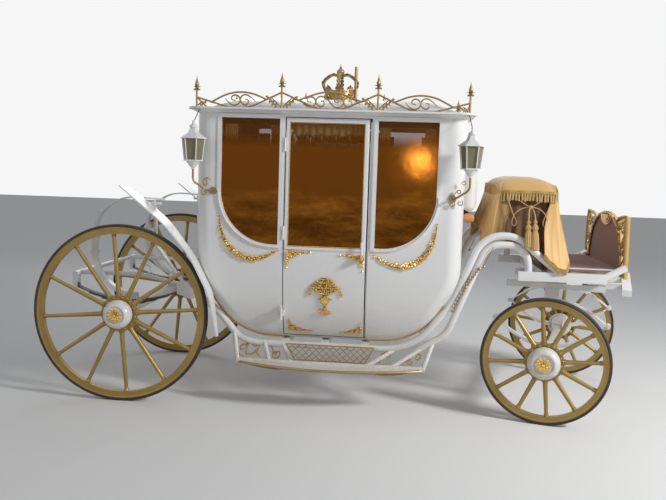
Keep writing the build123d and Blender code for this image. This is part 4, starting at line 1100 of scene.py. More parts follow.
def woven_sheet(name, columns, rows, shape, finish, held, rests_on, body="coach", with_pieces=()):
    """Sheet of cloth whose point at (across, down) shares is given by a function, in millimetres."""
    bm = bmesh.new()
    bmesh.ops.create_grid(bm, x_segments=columns, y_segments=rows, size=0.5)
    for vert in bm.verts:
        vert.co = spot(*shape(vert.co.x + 0.5, 0.5 - vert.co.y))
    area = sum(face.calc_area() for face in bm.faces)
    piece = add_piece(name, bm, finish, body, crease=180)
    row = [spot(*shape(i / 40, 0.5)) for i in range(41)]
    list(rests_on)
    return piece


def mirrored(shape):
    """The same sheet on the far side."""

    def far_shape(across, down):
        x, y, z = shape(1 - across, down)
        return x, -y, z

    return far_shape


def corner_walk(start, corner, half, radius, share):
    """Point and outward normal along a run from (start, -half) round two corners to (start, half)."""
    way = 1 if corner > start else -1
    straight = max(abs(corner - start) - radius, 0)
    arc, cross = pi / 2 * radius, 2 * (half - radius)
    bend_x, bend_y = corner - way * radius, half - radius
    gone = share * (2 * straight + 2 * arc + cross)
    if gone <= straight:
        return start + way * gone, -half, 0.0, -1.0
    gone -= straight
    if gone <= arc:
        run, turn = sin(gone / radius), cos(gone / radius)
        return bend_x + way * radius * run, -bend_y - radius * turn, way * run, -turn
    gone -= arc
    if gone <= cross:
        return corner, -bend_y + gone, way, 0.0
    gone -= cross
    if gone <= arc:
        run, turn = cos(gone / radius), sin(gone / radius)
        return bend_x + way * radius * run, bend_y + radius * turn, way * run, turn
    return bend_x - way * (gone - arc), half, 0.0, 1.0


def fade(value, low, high):
    """Smooth step between two values."""
    share = min(max((value - low) / (high - low), 0), 1)
    return share * share * (3 - 2 * share)


def hem_height(points, place):
    """Height of a hem at a share along it, between given (share, height) points."""
    for (s0, h0), (s1, h1) in zip(points, points[1:]):
        if place <= s1:
            return h0 + (h1 - h0) * fade(place, s0, s1)
    return points[-1][1]


def crown_cloth(across, down):
    """Cloth over the driver's seat: a soft dome with a short border hanging all round."""
    a, b = 2 * across - 1, 2 * down - 1
    edge = max(abs(a), abs(b), 1e-6)
    u, v = a / edge, b / edge
    top_share = 0.86
    flat = min(edge / top_share, 1)
    hang = max(edge - top_share, 0) / (1 - top_share)
    out = flat * (1 - 0.06 * abs(u * v) ** 4)
    x = 2690 + 194 * out * u + hang * u * 8
    y = 474 * out * v + hang * v * 8
    z = 1600 - sqrt((86 * abs(flat * v) ** 5) ** 2 + (48 * abs(flat * u) ** 4) ** 2)
    z -= 0.13 * max(x - 2740, 0) * (1 - flat**6) + 24 * hang
    turn = atan2(v * 2, u)
    z += 9 * sin(3 * turn + 1) * flat * (1 - flat)
    z += 7.5 * sin(x * 0.05) * sin(y * 0.017 + 1) * flat * (1 - flat)
    ripple = hang * (3 * sin(26 * turn) + 2 * sin(11 * turn + 2))
    return x + ripple * u, y + ripple * v, z


def hung_round(across, down, hem, start, corner, half, radius, depth, waves, least):
    """Point of a drape round an end of the seat, folded most at the seat's sides."""
    x, y, nx, ny = corner_walk(start, corner, half, radius, across)
    fold = sum(share * sin(2 * pi * count * across + phase) for share, count, phase in waves)
    fold *= depth * (least + (1 - least) * (0.5 - 0.5 * cos(4 * pi * across)))
    z = DRAPE_TOP + (hem_height(hem, across) - DRAPE_TOP) * down
    return x + nx * fold, y + ny * min(fold, 6), z


def rear_drape(across, down):
    """Cloth from the near side round the back of the seat to the far side."""
    depth = trim().fold * (0.12 + 0.88 * down**0.8)
    waves = ((0.55, 10, 1.2), (0.3, 17, 2 * down))
    ends = (2506 - 40 * down, 2496 - 92 * down**0.85, 458 + 28 * down, 20 + 34 * down)
    return hung_round(across, down, REAR_HEM, *ends, depth, waves, 0.35)


def front_drape(across, down):
    """Cloth from the near side round the front of the seat to the far side."""
    depth = trim().fold * (0.05 + 0.95 * down**1.5)
    waves = ((0.4, 8, 0.4), (0.25, 17, 1.5 * down))
    ends = (2836 - 40 * fade(down, 0, 0.7), 2884 + 78 * down, 460 + 132 * down**1.6, 20 + 40 * down)
    return hung_round(across, down, FRONT_HEM, *ends, depth, waves, 0.25)


def turned_edge(across, down):
    """Cloth turned in behind the rear drape's edge on the near side, seen from inside."""
    rear_edge = 2506 - 40 * down
    y = -(458 + 28 * down) + (6 + 34 * down) * across**0.8 + 7 * sin(2.8 * pi * across) * down
    z = DRAPE_TOP - 4 + (1200 + 22 * sin(pi * across) - DRAPE_TOP) * down
    return rear_edge + (2572 - rear_edge) * across, y, z


def near_lining(across, down):
    """Brown lining in the opening of the near side."""
    fold = 9 * sin(9 * pi * across + 0.8) * (0.3 + 0.7 * down)
    z = LINING_TOP + (hem_height(LINING_HEM, across) - LINING_TOP) * down
    return 2520 + 300 * across, -438 + fold - 4 * down, z


far_edge, far_lining = mirrored(turned_edge), mirrored(near_lining)


def hang_row(bm, stamp, line, pitch, size=1.0, chance=None):
    """Row of strands hanging from a line of metre points, at an even pitch in millimetres."""
    total = sum((b - a).length for a, b in zip(line, line[1:]))
    count = max(int(total / (pitch * MM)), 1)
    gone, index = 0.0, 0
    for step in range(count + 1):
        goal = total * step / count
        while index < len(line) - 2 and gone + (line[index + 1] - line[index]).length < goal:
            gone += (line[index + 1] - line[index]).length
            index += 1
        run = line[index + 1] - line[index]
        place = line[index] + run * ((goal - gone) / run.length)
        sway, length = (chance.uniform(-0.1, 0.1), chance.uniform(0.9, 1.08)) if chance else (0, 1)
        seat = at(place) @ spin(atan2(run.y, run.x)) @ spin(sway, "Y")
        press(bm, stamp, seat @ Matrix.Diagonal((size, size, size * length, 1)))


def edge_line(shape, side, lift=0):
    """Points along one edge of a sheet's shape: its hem, or the sides at share 0 and 1."""
    points = []
    for step in range(EDGE_STEPS + 1):
        share = step / EDGE_STEPS
        x, y, z = shape(share, 1) if side == "hem" else shape(side, share)
        points.append(spot(x, y, z + lift))
    return points


def add_cord(name, points, diameter):
    """Cord along control points, whose length is measured."""
    curve = wire_curve(name, [points], diameter / 2, resolution=8, sides=3)
    curve.materials.append(bpy.data.materials["thread"])
    cord = bpy.data.objects.new(name, curve)
    bpy.context.scene.collection.objects.link(cord)
    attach(cord, "coach")
    bare = curve.copy()
    bare.bevel_depth = 0
    line = meshed(bare)
    ends = ([line.vertices[index].co for index in edge.vertices] for edge in line.edges)
    length = sum((b - a).length for a, b in ends)
    bpy.data.meshes.remove(line)


# Padding

PAD_SEGMENTS = 4
SWELL_FRAMES = 20


def box_shape(low, high, rounding, segments=PAD_SEGMENTS):
    """Box between two metre points with rounded edges, in millimetres."""
    bm = bmesh.new()
    bmesh.ops.create_cube(bm, size=1)
    bmesh.ops.scale(bm, vec=high - low, verts=bm.verts)
    bmesh.ops.translate(bm, vec=(low + high) / 2, verts=bm.verts)
    edge = {"offset": rounding * MM, "segments": segments, "profile": 0.5, "affect": "EDGES", "material": -1}
    bmesh.ops.bevel(bm, geom=bm.edges[:], offset_type="OFFSET", **edge)
    return bm


def stuffed(name, bm, finish, voxel, swell, stands_for):
    """Padded piece: remeshed, blown up by a cloth simulation within a cap, and smoothed."""
    mesh = bpy.data.meshes.new(name)
    bm.to_mesh(mesh)
    bm.free()
    piece = bpy.data.objects.new(name, mesh)
    bpy.context.scene.collection.objects.link(piece)
    bpy.context.view_layer.objects.active = piece
    for other in bpy.context.selected_objects:
        other.select_set(False)
    piece.select_set(True)
    remesh = piece.modifiers.new("even", "REMESH")
    remesh.mode = "VOXEL"
    remesh.voxel_size = voxel * MM
    bpy.ops.object.modifier_apply(modifier=remesh.name)
    rest = [vert.co.copy() for vert in piece.data.vertices]
    cloth = piece.modifiers.new("swell", "CLOTH")
    cloth.settings.use_pressure = True
    cloth.settings.uniform_pressure_force = 4
    cloth.settings.effector_weights.gravity = 0
    cloth.point_cache.frame_start = 1
    cloth.point_cache.frame_end = SWELL_FRAMES
    scene = bpy.context.scene
    for step in range(1, SWELL_FRAMES + 1):
        scene.frame_set(step)
    bpy.ops.object.modifier_apply(modifier=cloth.name)
    scene.frame_set(1)
    for vert, start in zip(piece.data.vertices, rest):
        move = vert.co - start
        if move.length > swell * MM:
            vert.co = start + move.normalized() * swell * MM
    smooth = piece.modifiers.new("smooth", "SUBSURF")
    smooth.levels = smooth.render_levels = 1
    bpy.ops.object.modifier_apply(modifier=smooth.name)
    piece.data.shade_smooth()
    piece.data.materials.clear()
    piece.data.materials.append(bpy.data.materials[finish])
    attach(piece, "coach")
    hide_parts(stands_for)


# Driver's seat

# Upper part of the long strands; their length is a setting
FRINGE_KNOP = ((0, 2), (4, 0), (5.5, -6), (4, -11), (6.5, -16), (7.5, -30))
FRINGE_STRAND = ((0, 1), (2.4, -1), (2.0, -6), (3.4, -12), (4.2, -34), (1.5, -38), (0, -37))
TASSEL = ((0, 4), (5, 2), (9, -4), (12, -12), (11, -20), (7, -25), (10, -29), (17, -37), (20, -50), (17, -62))
TASSEL += ((13, -68), (15, -72), (20, -80), (24, -110), (27, -150), (29, -186), (20, -190), (0, -188))
TASSEL_KNOT = ((0, 13), (9, 10), (14, 0), (9, -10), (0, -13))
TASSEL_Y = -568
CORD_Y = 494
SEAT_CORDS = (
    ((2559, 1440), (2574, 1400), (2592, 1350), (2622, 1302), (2606, 1270), (2584, 1290), (2598, 1352),
     (2640, 1388), (2672, 1398), (2694, 1402)),
    ((2836, 1437), (2822, 1400), (2806, 1350), (2786, 1302), (2800, 1268), (2824, 1288), (2810, 1350),
     (2768, 1390), (2732, 1400), (2712, 1402)),
    ((2636, 1440), (2650, 1430), (2670, 1417), (2694, 1404)),
    ((2766, 1441), (2752, 1430), (2734, 1416), (2712, 1404)),
)


def crown_border():
    """Line all round the top cloth's border, from its rear near corner."""
    border = []
    for step in range(241):
        side, along = divmod(step / 60, 1) if step < 240 else (3, 1.0)
        across, down = ((along, 0), (1, along), (1 - along, 1), (0, 1 - along))[int(side)]
        x, y, z = crown_cloth(across, down)
        border.append(spot(x, y, z + 4))
    return border


class COACH_OT_cover_driver_seat(bpy.types.Operator):
    """Drape the driver's seat in satin with fringes, cords and tassels, and pad its back"""

    bl_idname = "coach.cover_driver_seat"
    bl_label = "Cover driver's seat"

    def execute(self, context):
        chance = random.Random(5)
        drop, width = trim().drop, trim().strand
        knop = (*FRINGE_KNOP, (8, -drop), (3, -drop - 2), (0, -drop))
        strand = turned(FRINGE_STRAND, 6)
        border = crown_border()
        fringe, braid, hems, tassels = (bmesh.new() for _ in range(4))
        hang_row(fringe, turned(knop, 10, 5, 0.14), border, 1.9 * width, 1.0, chance)
        hang_row(fringe, strand, border, 0.8 * width, 0.55, chance)
        upper = add_piece("crown_fringe", fringe, "thread")
        for lift in (2, 11):
            heights = (lift * MM + 0.002 * (index % 2) for index in range(len(border)))
            twist = [point + Vector((0, 0, height)) for point, height in zip(border, heights)]
            wires(braid, [twist], 5, resolution=2, sides=1)
        gimp = add_piece("crown_braid", braid, "dark_thread")
        satin = ("gold_satin", "draped", ["seat_box"])
        crown = woven_sheet("seat_crown", 96, 120, crown_cloth, *satin, with_pieces=(upper, gimp))
        for shape in (rear_drape, front_drape):
            hang_row(hems, strand, edge_line(shape, "hem", 3), HEM_PITCH, 1.0, chance)
        for line in (edge_line(turned_edge, 1), edge_line(far_edge, 0)):
            hang_row(hems, strand, line[HIDDEN_EDGE:], 7, 0.3, chance)
        near_hem, far_hem = edge_line(near_lining, "hem", 2), edge_line(far_lining, "hem", 2)
        for line in (near_hem[HIDDEN_HEM:], far_hem[: EDGE_STEPS - HIDDEN_HEM]):
            hang_row(hems, strand, line, HEM_PITCH, 1.15, chance)
        lower = add_piece("drape_fringe", hems, "dark_thread")
        hung = ("hung", ["seat_box"])
        rear = woven_sheet("seat_drape_rear", 260, 40, rear_drape, "gold_satin", *hung, with_pieces=(lower,))
        front = woven_sheet("seat_drape_front", 260, 40, front_drape, "gold_satin", *hung)
        for cloth in (crown, rear, front):
            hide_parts("hammercloth")
        for name, shape, edge in ((NEAR, near_lining, turned_edge), (FAR, far_lining, far_edge)):
            woven_sheet(f"seat_lining_{name}", 60, 24, shape, "brown_lining", *hung)
            woven_sheet(f"seat_turned_edge_{name}", 16, 30, edge, "satin_reverse", *hung)
        head = turned(TASSEL, 28, 14, 0.16)
        for x, z, size in ((2686, 1316, 0.94), (2728, 1322, 1.06)):
            press(tassels, head, at(spot(x, TASSEL_Y, z)) @ spin(-0.17, "X") @ grow(size))
            stem = [spot(2703 + 0.2 * (x - 2703), -510, 1398), spot(x, -534, 1380), spot(x, TASSEL_Y, z)]
            wires(tassels, [stem], 4.5)
        press(tassels, turned(TASSEL_KNOT, 14, 5, 0.2), at(spot(2703, -510, 1402)) @ spin(pi / 2, "X"))
        add_both_sides("seat_tassels", tassels, "thread")
        for side, word in ((-1, NEAR), (1, FAR)):
            for number, route in enumerate(SEAT_CORDS):
                add_cord(f"seat_cord_{word}_{number}", [spot(x, side * CORD_Y, z) for x, z in route], 6.5)
        back = box_shape(spot(2268, -424, 1345), spot(2350, 424, 1884), 34)
        stuffed("driver_back", back, "white_leather", 9, 14, "seat_back")
        roll = box_shape(spot(2268, -420, 1280), spot(2352, 420, 1338), 24)
        stuffed("driver_roll", roll, "tan_leather", 8, 12, "seat_back")
        return {"FINISHED"}


# Dash and footboard, drawn as (left, up) and mirrored

DASH_X = 3320
MEDALLION_Z = 1354
# Radius of each wire with its points
DASH_WIRES = (
    (7, ((0, 1372), (90, 1366), (180, 1340), (268, 1308), (330, 1262), (366, 1226), (420, 1122), (444, 1034),
         (444, 965))),
    (10, ((522, 1368), (520, 1340), (522, 1250), (530, 1120), (548, 958))),
    (8, ((276, 1318), (330, 1338), (400, 1354), (470, 1360), (522, 1366))),
    (5, ((498, 1340), (440, 1318), (420, 1270), (452, 1246), (478, 1272), (458, 1288))),
    (5, ((330, 1304), (380, 1318), (404, 1290), (384, 1264), (362, 1280), (374, 1292))),
    (5, ((505, 1236), (470, 1222), (440, 1180), (462, 1150), (492, 1166), (480, 1190), (466, 1182))),
    (5, ((436, 1160), (450, 1120), (490, 1100), (512, 1126), (496, 1148), (480, 1134))),
    (5, ((522, 1080), (490, 1070), (462, 1036), (478, 1008), (506, 1016), (504, 1040), (488, 1038))),
    (5, ((456, 1050), (464, 1010), (500, 986), (522, 1000))),
)
# Place, heading and length of each leaf
DASH_LEAVES = (
    (428, 1300, 0.6, 60), (398, 1278, 2.4, 46), (470, 1212, -1.1, 56), (450, 1140, 1.2, 54),
    (500, 1110, 2.0, 46), (474, 1050, -1.3, 54), (500, 1000, 1.1, 46), (402, 1160, 1.9, 52),
    (372, 1218, 2.2, 56), (330, 1266, 2.5, 52), (428, 1090, 1.8, 48), (440, 1010, 1.6, 44),
    (508, 1316, -1.5, 46), (514, 1200, -1.5, 44), (524, 1100, -1.5, 44),
)
DASH_BUDS = ((432, 1284), (466, 1166), (492, 1126), (484, 1024), (374, 1284))


def across_dash(bm, depth):
    """Turn an ornament drawn as (left, up, lift) to stand across the coach, facing the driver."""
    for vert in bm.verts:
        y, z, lift = vert.co
        vert.co = (along_x(DASH_X - depth) - lift, y, z)
    bmesh.ops.reverse_faces(bm, faces=bm.faces)


def medallion(bm):
    """Half-round boss of three steps with a row of buds below it."""
    for radius, lift in ((150, 2), (126, 8), (96, 13)):
        disc = bmesh.new()
        bmesh.ops.create_circle(disc, cap_ends=True, segments=48, radius=radius * MM)
        whole = disc.verts[:] + disc.edges[:] + disc.faces[:]
        bmesh.ops.bisect_plane(disc, geom=whole, plane_co=(0, 0, 0), plane_no=(0, 1, 0), clear_outer=True)
        bmesh.ops.scale(disc, vec=(1, 0.5, 1), verts=disc.verts)
        bmesh.ops.translate(disc, vec=(0, MEDALLION_Z * MM, lift * MM), verts=disc.verts)
        for item in bmesh.ops.extrude_face_region(disc, geom=disc.faces[:])["geom"]:
            if isinstance(item, bmesh.types.BMVert):
                item.co.z -= (lift + 4) * MM
        bmesh.ops.recalc_face_normals(disc, faces=disc.faces)
        press(bm, as_stamp(disc), Matrix.Identity(4))
    for index in range(15):
        angle = pi * (index + 0.5) / 15
        x, y = 200 * cos(angle), MEDALLION_Z - 14 + 24 * sin(angle)
        press(bm, BUD, flat_turn(x * MM, y * MM, 2 * MM, 0, 7 * MM))


class COACH_OT_gild_dash(bpy.types.Operator):
    """Add scrollwork and a half-round medallion to the dash, and piping and an edge to the footboard"""

    bl_idname = "coach.gild_dash"
    bl_label = "Gild dash"

    def execute(self, context):
        work, medal, piping = (bmesh.new() for _ in range(3))
        for radius, motif in DASH_WIRES:
            pair = [tapered(motif, lambda y, z, s=side: (s * y * MM, z * MM, 0), 0.7) for side in (-1, 1)]
            wires(work, pair, radius)
        for side in (-1, 1):
            for y, z, turn, size in DASH_LEAVES:
                angle = turn if side > 0 else pi - turn
                press(work, LEAF, flat_turn(side * y * MM, z * MM, 1 * MM, angle, size * MM))
            for y, z in DASH_BUDS:
                press(work, BUD, flat_turn(side * y * MM, z * MM, 3 * MM, 0, 8 * MM))
        across_dash(work, 4)
        add_piece("dash_scrolls", work, "aged_gilt")
        medallion(medal)
        across_dash(medal, 3)
        add_piece("dash_medallion", medal, "gold_trim")
        wires(piping, [[spot(x, side * 502, 1007) for x in (2908, 3110, 3314)] for side in (-1, 1)], 4.5)
        add_piece("footboard_piping", piping, "white_paint")
        plank = box_shape(spot(2906, -502, 983.5), spot(3316, 502, 998.5), 2, 2)
        add_piece("footboard_edge", plank, "floor_wood")
        return {"FINISHED"}


# Running gear

# Scrolls in the near step's bays, as (ahead, height) points
STEP_SCROLLS = (
    ((839, 386), (824, 364), (798, 368), (798, 389), (829, 398), (850, 376), (835, 342), (877, 338),
     (923, 365), (927, 399), (901, 412), (878, 404), (886, 383), (905, 388)),
    ((950, 324), (928, 344), (907, 364)),
    ((835, 329), (810, 328), (793, 347)),
    ((994, 394), (1020, 388), (1029, 365), (1027, 334), (1055, 323), (1078, 339), (1074, 366), (1054, 364),
     (1050, 346)),
    ((1715, 320), (1724, 350), (1749, 363), (1767, 346), (1753, 325), (1740, 337)),
    ((1754, 364), (1783, 394), (1817, 406), (1833, 383), (1814, 362), (1794, 371), (1803, 385)),
    ((1841, 321), (1881, 328), (1920, 344), (1954, 356), (1973, 340), (1956, 324), (1943, 335)),
    ((1944, 356), (1983, 389), (2018, 394), (2028, 371), (2006, 355), (1989, 368), (1998, 377)),
)
STEP_LEAVES = ((850, 381, 2.0), (907, 364, -0.9), (1028, 350, 0.5), (1754, 364, 0.8), (1944, 356, 0.8))
# First end, last end and turned-up tip of each bracket below the step, ahead of the rear axle
STEP_BRACKETS = ((900, 1150, 1162), (1940, 1690, 1678))
NECK_Y, RING_Y = -577, -574
NECK_STRIP = ((2216, 690), (2252, 770), (2292, 850), (2332, 916), (2372, 975))
NECK_ROD = ((2467, 1137), (2440, 1072), (2408, 1002))
SPRING_Y = 400
BOLT_WAYS = ((-38, -31), (-38, 31), (38, -31), (38, 31))
BOLT_ENDS = ((440, 492), (752, 806))
NUT = ((0, 10), (7, 10), (8, 8), (8, 0), (0, 0))
DRUM = ((0, -64), (60, -64), (88, -60), (92, -52), (92, -30), (60, -28), (0, -28))


def dress_steps(bm):
    """Scrolls in the near step's bays, its gilt edge and the brackets below it."""
    flourish(bm, STEP_SCROLLS, 4.2, ends=6)
    for x, z, turn in STEP_LEAVES:
        put(bm, LEAF, x, z, angle=turn, size=32)
    stand_on_edge(bm, lambda z: -(545 + 105 * min(max((410 - z) / 104, 0), 1)))
    edge = [spot(790 + 1260 * i / 24, -650 - 150 * sin(pi * i / 24) ** 0.75, 300) for i in range(25)]
    wires(bm, [edge], 9)
    under = [
        [spot(a, -700, 292), spot((a + b) / 2, -705, 268), spot(b, -690, 276), spot(tip, -690, 290)]
        for a, b, tip in STEP_BRACKETS
    ]
    wires(bm, under, 5)


def spring_bolts(bm, turntable):
    """Clamps' bolts with nuts at both ends, through the front springs."""
    nut = turned(NUT, 6)
    for side in (-1, 1):
        for ahead, across in BOLT_WAYS:
            for low, high in BOLT_ENDS:
                ends = (Vector((ahead, side * SPRING_Y + across, z)) for z in (low, high))
                foot, top = (turntable @ (end * MM) for end in ends)
                wires(bm, [[foot, top]], 6, order=2)
                press(bm, nut, at(top))
                press(bm, nut, at(foot) @ Matrix.Scale(-1, 4, (0, 0, 1)))
    bmesh.ops.recalc_face_normals(bm, faces=bm.faces)


class COACH_OT_trim_running_gear(bpy.types.Operator):
    """Add scrolls to the steps, leaves to the necks, bolts to the front springs, and brake drums"""

    bl_idname = "coach.trim_running_gear"
    bl_label = "Trim running gear"

    def execute(self, context):
        step, neck, ring, bolts = (bmesh.new() for _ in range(4))
        dress_steps(step)
        add_both_sides("step_scrolls", step, "aged_gilt")
        for x, z in through(NECK_STRIP, 15):
            for side in (-1, 1):
                put(neck, LEAF, x, z, angle=1.1 + side * 0.5, size=21)
        flourish(neck, (NECK_ROD, NECK_STRIP), 4)
        for x, z in ((2385, 990), (2412, 1003), (2300, 862)):
            put(neck, BUD, x, z, size=11)
        stand_on_edge(neck, NECK_Y)
        add_both_sides("neck_leaves", neck, "aged_gilt")
        circle = [(127 + 34 * cos(2 * pi * i / 16), 884 + 34 * sin(2 * pi * i / 16)) for i in range(17)]
        flourish(ring, [circle], 5)
        stand_on_edge(ring, RING_Y)
        add_both_sides("loop_ring", ring, "white_paint")
        places = {name: (body, place) for name, body, radius, place in wheel_places()}
        right, left = places[f"front_{NEAR}"][1], places[f"front_{FAR}"][1]
        ahead, up, out = left.to_3x3().col
        turntable = Matrix((ahead, out, Vector((0, 0, 1)))).transposed().to_4x4()
        turntable.translation = ((right.translation + left.translation) / 2).to_2d().to_3d()
        spring_bolts(bolts, turntable)
        add_piece("spring_clamps", bolts, "white_paint", "fore_carriage")
        for name, (body, place) in places.items():
            if name.startswith("front"):
                drum = bmesh.new()
                press(drum, turned(DRUM, 40), place)
                add_piece(f"brake_drum_{name}", drum, "white_paint", body)
        return {"FINISHED"}


# Lamps

# Scrolls on the body's corners beside the lamp brackets, as (ahead, height) points
LAMP_SCROLLS = (
    ((597, 1509), (575, 1533), (549, 1516), (541, 1490), (563, 1474), (575, 1495), (562, 1512)),
    ((546, 1461), (529, 1435), (542, 1412), (568, 1419), (563, 1440), (551, 1436)),
    ((2182, 1452), (2200, 1490), (2226, 1504), (2234, 1484), (2216, 1474), (2208, 1490)),
    ((2240, 1440), (2252, 1414), (2234, 1400), (2214, 1412), (2222, 1430), (2234, 1424)),
    ((2196, 1428), (2200, 1402), (2180, 1390), (2164, 1404), (2172, 1420), (2184, 1412)),
    ((2228, 1540), (2244, 1560), (2262, 1552), (2258, 1532), (2244, 1538)),
)
LAMP_SCROLL_Y = -668
# Lamp and foot of each stay
LAMP_STAYS = ((512, 520), (2277, 2262))


class COACH_OT_trim_lamps(bpy.types.Operator):
    """Add scrolls beside the lamp brackets and a stay from each lamp to the cornice"""

    bl_idname = "coach.trim_lamps"
    bl_label = "Trim lamps"

    def execute(self, context):
        scrolls, stays = bmesh.new(), bmesh.new()
        flourish(scrolls, LAMP_SCROLLS, 3.2, ends=5)
        stand_on_edge(scrolls, LAMP_SCROLL_Y)
        add_both_sides("lamp_scrolls", scrolls, "aged_gilt")
        for lamp, foot in LAMP_STAYS:
            stay = [spot(lamp, -800, 1880), spot((lamp + foot) / 2, -745, 1925), spot(foot, -690, 1972)]
            wires(stays, [stay], 3)
        add_both_sides("lamp_stays", stays, "dark_steel")
        return {"FINISHED"}


# Cabin

# Rear and front edge of each curtain and the side that it is gathered to
CURTAINS = ((668, 760, -1), (980, 1052, 1), (1696, 1770, -1), (1990, 2068, 1))
PELMET_KNOP = ((0, 2), (5, 0), (7, -7), (5, -12), (8, -18), (10, -34), (9, -46), (0, -46))
CUSHION_DEPTH = 430 * MM
CUSHION_INSET = Vector((12, 12, 12)) * MM


def curtain(rear, front, gather, side):
    """Shape function of a curtain gathered to one side of a window."""

    def shape(across, down):
        across = across if side < 0 else 1 - across
        width = (front - rear) * (1 - 0.32 * sin(pi * down) ** 2)
        x = (rear if gather < 0 else front - width) + width * across
        ripple = 11 * sin(14 * pi * across + 1.5 * down) * (0.5 + 0.5 * down)
        return x, side * 600 + ripple, 1888 - 760 * down

    return shape


def near_pelmet(across, down):
    """Pelmet in the near door's window, with five swags."""
    sag = 60 + 16 * abs(sin(5 * pi * across))
    return 1122 + 476 * across, -606 + 5 * sin(20 * pi * across), 1896 - sag * down


class COACH_OT_dress_cabin(bpy.types.Operator):
    """Hang curtains and tasselled pelmets in the windows and pad the seats"""

    bl_idname = "coach.dress_cabin"
    bl_label = "Dress cabin"

    def execute(self, context):
        silk = ("curtain_cloth", "gathered")
        for word, side in ((NEAR, -1), (FAR, 1)):
            for number, edges in enumerate(CURTAINS):
                shape = curtain(*edges, side)
                woven_sheet(f"curtain_{word}_{number}", 70, 20, shape, *silk, [f"side_{word}"])
        knop = turned(PELMET_KNOP, 10, 5, 0.14)
        fringe = bmesh.new()
        line = [spot(1125 + 470 * i / 40, -604, 1842 - 16 * abs(sin(5 * pi * i / 40))) for i in range(41)]
        hang_row(fringe, knop, line, 94, 1.3)
        hang_row(fringe, knop, line, 24, 0.5)
        wires(fringe, [line], 5)
        fringes = add_both_sides("pelmet_tassels", fringe, "thread", DOORS)
        for door, shape, tassels in zip(DOORS, (near_pelmet, mirrored(near_pelmet)), fringes):
            name = door.replace("door", "pelmet")
            woven_sheet(name, 60, 8, shape, *silk, [door], door, (tassels,))
        low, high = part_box("seat_cushions")
        for word, start in (("rear", low.x), ("front", high.x - CUSHION_DEPTH)):
            lower = Vector((start, low.y, low.z)) + CUSHION_INSET
            upper = Vector((start + CUSHION_DEPTH, high.y, high.z)) - CUSHION_INSET
            shape = box_shape(lower, upper, 26)
            stuffed(f"cabin_cushion_{word}", shape, "cabin_cloth", 11, 12, "seat_cushions")
        return {"FINISHED"}


# Stage

# Name, place, aim, size and power of each lamp; the glint is the sun's in the front quarter window
LIGHTS = (
    ("key", (5.6, -3.2, 4.0), (0, 0, 0.9), 1.2, 320),
    ("fill", (-4.5, -5.5, 3.0), (0, 0, 1.0), 4.5, 14),
    ("rim", (-1.5, 5.5, 4.5), (0, 0, 1.0), 3.5, 50),
    ("glint", (REAR_AXLE_X + 2.074, -6.5, 1.784), (REAR_AXLE_X + 1.97, -0.64, 1.679), 0.28, 5),
)
SKY, SKY_STRENGTH = (0.93, 0.95, 1.0, 1), 0.26
BACKDROP_STRENGTH = 0.92
# Camera fitted to the photograph
CAMERA_PLACE = (REAR_AXLE_X + 1.8808, -5.6493, 1.5894)
YAW, PITCH, ROLL = -0.092, 0.1012, 0.0322
SENSOR = 36
# Focal length and the frame's width, in pixels
FOCAL_SHARE = 765.88 / 666


def add_stage_object(name, data):
    holder = bpy.data.objects.new(name, data)
    bpy.context.scene.collection.objects.link(holder)
    return holder


def add_floor():
    """Pale floor below the coach."""
    Finish("stage_floor").surface((0.86, 0.86, 0.85), roughness=0.9)
    bm = bmesh.new()
    bmesh.ops.create_grid(bm, x_segments=1, y_segments=1, size=30)
    mesh = bpy.data.meshes.new("stage_floor")
    bm.to_mesh(mesh)
    bm.free()
    mesh.materials.append(bpy.data.materials["stage_floor"])
    return add_stage_object("stage_floor", mesh)


def add_light(name, place, aim, size, power):
    """Round lamp that faces a point."""
    lamp = bpy.data.lights.new(name, "AREA")
    lamp.shape = "DISK"
    lamp.size = size
    lamp.energy = power
    holder = add_stage_object(name, lamp)
    holder.location = place
    holder.rotation_euler = (Vector(aim) - Vector(place)).to_track_quat("-Z", "Y").to_euler()
    return holder


def set_world():
    """Soft sky for the coach, and white for the camera and what metal and glass show."""
    sky = Finish("studio", "worlds")
    camera, glossy, through_glass = (
        sky.node("ShaderNodeLightPath", out=f"Is {ray} Ray") for ray in ("Camera", "Glossy", "Transmission")
    )
    seen = sky.math("MAXIMUM", sky.math("MAXIMUM", camera, glossy), through_glass)
    soft = sky.node("ShaderNodeBackground", None, {"Color": SKY, "Strength": SKY_STRENGTH})
    white = sky.node("ShaderNodeBackground", None, {"Color": (1, 1, 1, 1), "Strength": BACKDROP_STRENGTH})
    mixed = sky.node("ShaderNodeMixShader", None, {0: seen, 1: soft, 2: white})
    sky.node("ShaderNodeOutputWorld", None, {0: mixed})
    bpy.context.scene.world = sky.owner


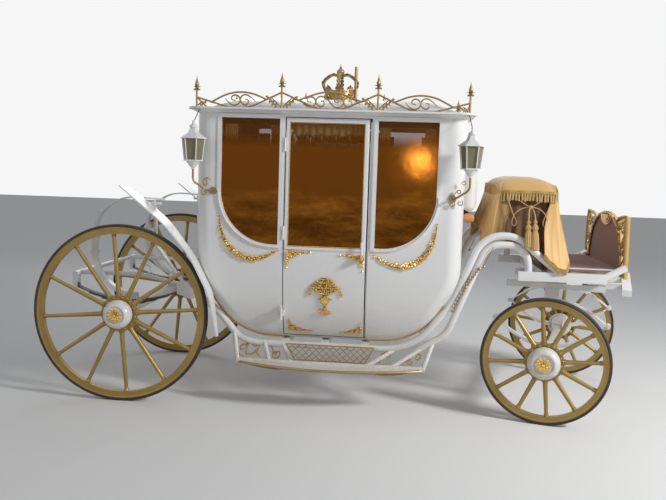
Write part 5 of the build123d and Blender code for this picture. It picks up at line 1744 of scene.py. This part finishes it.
def set_camera():
    """Camera at the photograph's viewing angle."""
    camera = bpy.data.cameras.new("camera")
    camera.sensor_width = SENSOR
    camera.sensor_fit = "HORIZONTAL"
    camera.lens = SENSOR * FOCAL_SHARE
    ahead = Vector((sin(YAW) * cos(PITCH), cos(YAW) * cos(PITCH), -sin(PITCH)))
    level = Vector((cos(YAW), -sin(YAW), 0))
    up = level.cross(ahead)
    right, top = cos(ROLL) * level + sin(ROLL) * up, cos(ROLL) * up - sin(ROLL) * level
    holder = add_stage_object("camera", camera)
    holder.matrix_world = at(CAMERA_PLACE) @ Matrix((right, top, -ahead)).transposed().to_4x4()
    bpy.context.scene.camera = holder


class COACH_OT_set_stage(bpy.types.Operator):
    """Set the floor, the lights, the world and the camera"""

    bl_idname = "coach.set_stage"
    bl_label = "Set stage"

    def execute(self, context):
        add_floor()
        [add_light(*light) for light in LIGHTS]
        set_world()
        context.scene.view_settings.view_transform = "Standard"
        set_camera()
        return {"FINISHED"}


STEPS = (
    COACH_OT_mix_finishes,
    COACH_OT_dress_wheels,
    COACH_OT_gild_body,
    COACH_OT_trim_roof,
    COACH_OT_cover_driver_seat,
    COACH_OT_gild_dash,
    COACH_OT_trim_running_gear,
    COACH_OT_trim_lamps,
    COACH_OT_dress_cabin,
    COACH_OT_set_stage,
)


class COACH_PT_looks(bpy.types.Panel):
    """Steps that dress the coach, in order"""

    bl_label = "Coach"
    bl_idname = "COACH_PT_looks"
    bl_space_type = "VIEW_3D"
    bl_region_type = "UI"
    bl_category = "Coach"

    def draw(self, context):
        for group in (context.scene.coach_paint, context.scene.coach_trim):
            for name in group.__annotations__:
                self.layout.prop(group, name)
        for step in STEPS:
            self.layout.operator(step.bl_idname)


CLASSES = (CoachPaint, CoachTrim, *STEPS, COACH_PT_looks)


def register():
    for group in CLASSES:
        bpy.utils.register_class(group)
    bpy.types.Scene.coach_paint = PointerProperty(type=CoachPaint)
    bpy.types.Scene.coach_trim = PointerProperty(type=CoachTrim)


def unregister():
    del bpy.types.Scene.coach_paint
    del bpy.types.Scene.coach_trim
    for group in reversed(CLASSES):
        bpy.utils.unregister_class(group)


def main():
    register()
    for step in STEPS:
        getattr(bpy.ops.coach, step.bl_idname.removeprefix("coach."))()


if __name__ == "__main__":
    main()
